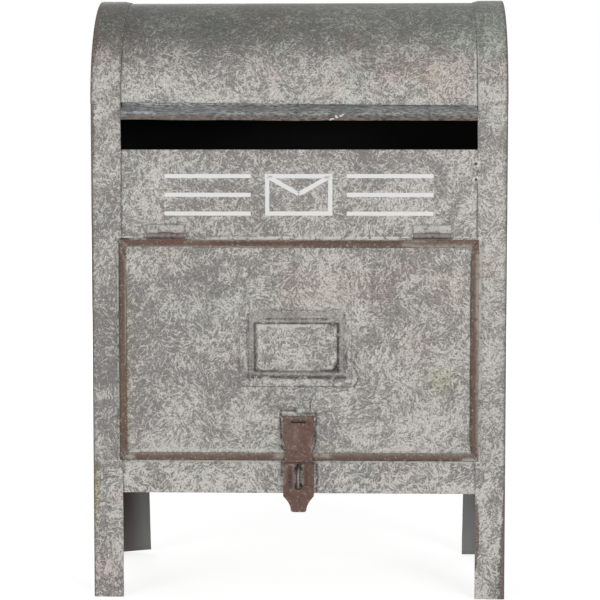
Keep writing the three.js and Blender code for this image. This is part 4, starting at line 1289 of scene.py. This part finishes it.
class LETTERBOX_OT_hasp(bpy.types.Operator):
    """Forge the hasp's leaf and strap, and bend the staple's wire"""

    bl_idname = "letter_box.hasp"
    bl_label = "Hasp and staple"

    def execute(self, context):
        for part, body, ground in (("leaf", "door", "trim_grey"), ("strap", "hasp", "trim_warm")):
            bm, tree = blank(f"hasp_{part}", 0.26 * MM, 3, (Z, 0.7), (X, 0.6))
            for vert in bm.verts:
                drift = noise.noise(Vector((math.copysign(4.4, vert.co.x), 0.3, vert.co.z / (4 * MM))))
                vert.co.x *= 1 - 0.018 * (0.6 + drift)
            skin = worn_trim(f"Worn hasp {part}", ground)
            marks = {"wear": near_edge(tree, 0.9 * MM), **lines_on("hasp")}
            finish_piece(bm, [skin], body, "worn_trim", f"hasp_{part}", **marks)
        self.staple()
        return {"FINISHED"}

    def staple(self):
        """One round wire: out, round in a half circle and back."""
        radius = (STAPLE_HIGH.x - STAPLE_LOW.x) / 2
        bow = (STAPLE_HIGH.z - STAPLE_LOW.z) / 2 - radius
        middle = (STAPLE_HIGH.z + STAPLE_LOW.z) / 2
        centre = Vector((0, STAPLE_LOW.y + radius + bow, middle))
        bm = bmesh.new()
        upright = Matrix.Rotation(math.pi / 2, 4, "X")
        upright.translation = (0, STAPLE_HIGH.y, middle + bow)
        bmesh.ops.create_circle(bm, cap_ends=False, segments=20, radius=radius, matrix=upright)
        straight = Vector((0, centre.y - STAPLE_HIGH.y, 0))
        ring = self.extrude_ring(bm, list(bm.edges), straight)
        spun = bmesh.ops.spin(bm, geom=ring, cent=centre, axis=(1, 0, 0), angle=math.pi, steps=28)
        last = [item for item in spun["geom_last"] if isinstance(item, bmesh.types.BMEdge)]
        self.extrude_ring(bm, last, -straight)
        bmesh.ops.remove_doubles(bm, verts=bm.verts, dist=0.001 * MM)
        bmesh.ops.holes_fill(bm, edges=[edge for edge in bm.edges if edge.is_boundary], sides=0)
        bmesh.ops.recalc_face_normals(bm, faces=bm.faces)
        finish_piece(bm, [staple_steel()], "root", "bare_steel", "hasp_staple", "hasp_staple_wire")

    def extrude_ring(self, bm, edges, move):
        made = bmesh.ops.extrude_edge_only(bm, edges=edges)["geom"]
        verts = [item for item in made if isinstance(item, bmesh.types.BMVert)]
        bmesh.ops.translate(bm, vec=move, verts=verts)
        return verts + [item for item in made if isinstance(item, bmesh.types.BMEdge)]


class LETTERBOX_OT_pins(bpy.types.Operator):
    """Give the hinge pins their steel"""

    bl_idname = "letter_box.pins"
    bl_label = "Pins"

    def execute(self, context):
        for node in ("left_hinge_pin", "right_hinge_pin", "hasp_pin"):
            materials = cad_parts[node].data.materials
            materials.clear()
            materials.append(bare_steel())
        return {"FINISHED"}


class LETTERBOX_OT_stage(bpy.types.Operator):
    """Set up the floor, lamps, world and camera"""

    bl_idname = "letter_box.stage"
    bl_label = "Stage"

    def execute(self, context):
        stage = context.scene.letter_box_stage
        self.floor()
        self.world(stage.ambient)
        self.lamp("Key lamp", (0.95, -1.75, 0.62), 0.9, stage.key_power)
        self.lamp("Fill lamp", (-1.2, -1.7, 0.45), 1.2, stage.fill_power)
        self.lamp("Back lamp", (-0.6, 2.0, 0.7), 1.2, stage.back_power)
        self.camera(stage)
        context.scene.view_settings.view_transform = "Standard"
        return {"FINISHED"}

    def place(self, name, data, location=(0, 0, 0), turn=(0, 0, 0)):
        made = bpy.data.objects.new(name, data)
        made.location = location
        made.rotation_euler = turn
        bpy.context.scene.collection.objects.link(made)
        return made

    def floor(self):
        """A pale floor that glows for the camera, so that it fades into the background."""
        bm = bmesh.new()
        bmesh.ops.create_grid(bm, x_segments=1, y_segments=1, size=6)
        mesh = bpy.data.meshes.new("floor")
        bm.to_mesh(mesh)
        bm.free()
        shader = Shader("Pale floor")
        diffuse = shader.node("ShaderNodeBsdfDiffuse", {"Color": (0.62, 0.62, 0.62)})
        away = shader.node("ShaderNodeVectorMath", {0: shader.solid}, "Value", operation="LENGTH")
        lit = {"Color": (1, 1, 1), "Strength": away.ramp(0.25, 1.1, 0.75, 1.0)}
        both = shader.node("ShaderNodeAddShader", {0: diffuse, 1: shader.node("ShaderNodeEmission", lit)})
        mixed = shader.node("ShaderNodeMixShader", {0: shader.not_bounced(), 1: diffuse, 2: both})
        shader.node("ShaderNodeOutputMaterial", {"Surface": mixed})
        mesh.materials.append(shader.owner)
        self.place("floor", mesh)

    def world(self, ambient):
        """White to the camera, and a dimmer light from all round."""
        world = bpy.data.worlds.new("Studio")
        shader = Shader("Studio", owner=world)
        strength = shader.not_bounced().ramp(0.0, 1.0, ambient, 1.0)
        background = shader.node("ShaderNodeBackground", {"Color": (1, 1, 1), "Strength": strength})
        shader.node("ShaderNodeOutputWorld", {"Surface": background})
        bpy.context.scene.world = world

    def lamp(self, name, place, size, watts):
        """A round lamp that looks at the middle of the box."""
        light = bpy.data.lights.new(name, "AREA")
        light.shape = "DISK"
        light.size = size
        light.energy = watts
        way = Vector((0, ARCH_CENTRE.y, 0.2)) - Vector(place)
        self.place(name, light, place, way.to_track_quat("-Z", "Y").to_euler())

    def camera(self, stage):
        data = bpy.data.cameras.new("camera")
        data.sensor_width = 36
        data.lens = stage.lens
        turn = (math.pi / 2 - stage.camera_dip, 0, stage.camera_turn)
        bpy.context.scene.camera = self.place("camera", data, stage.camera_place, turn)


# ---------------------------------------------------------------- panel and registration


class LETTERBOX_PT_panel(bpy.types.Panel):
    """Lists the letter box's operators and settings"""

    bl_idname = "LETTERBOX_PT_panel"
    bl_label = "Letter Box"
    bl_space_type = "VIEW_3D"
    bl_region_type = "UI"
    bl_category = "Letter Box"

    def draw(self, context):
        column = self.layout.column()
        for operator in OPERATORS:
            column.operator(operator.bl_idname)
        for name, group in GROUPS.items():
            for key in group.__annotations__:
                column.prop(getattr(context.scene, name), key)


OPERATORS = (
    LETTERBOX_OT_legs, LETTERBOX_OT_arches, LETTERBOX_OT_panels, LETTERBOX_OT_sign,
    LETTERBOX_OT_solder, LETTERBOX_OT_hood, LETTERBOX_OT_door, LETTERBOX_OT_hinges,
    LETTERBOX_OT_card_holder, LETTERBOX_OT_hasp, LETTERBOX_OT_pins, LETTERBOX_OT_stage,
)
GROUPS = {
    "letter_box_form": LetterBoxForm,
    "letter_box_finish": LetterBoxFinish,
    "letter_box_stage": LetterBoxStage,
}


def register():
    for cls in (*GROUPS.values(), *OPERATORS, LETTERBOX_PT_panel):
        bpy.utils.register_class(cls)
    for name, group in GROUPS.items():
        setattr(bpy.types.Scene, name, PointerProperty(type=group))


def unregister():
    for name in GROUPS:
        delattr(bpy.types.Scene, name)
    for cls in (LETTERBOX_PT_panel, *reversed(OPERATORS), *reversed(GROUPS.values())):
        bpy.utils.unregister_class(cls)


def main():
    register()
    for operator in OPERATORS:
        group, name = operator.bl_idname.split(".")
        getattr(getattr(bpy.ops, group), name)()


if __name__ == "__main__":
    main()
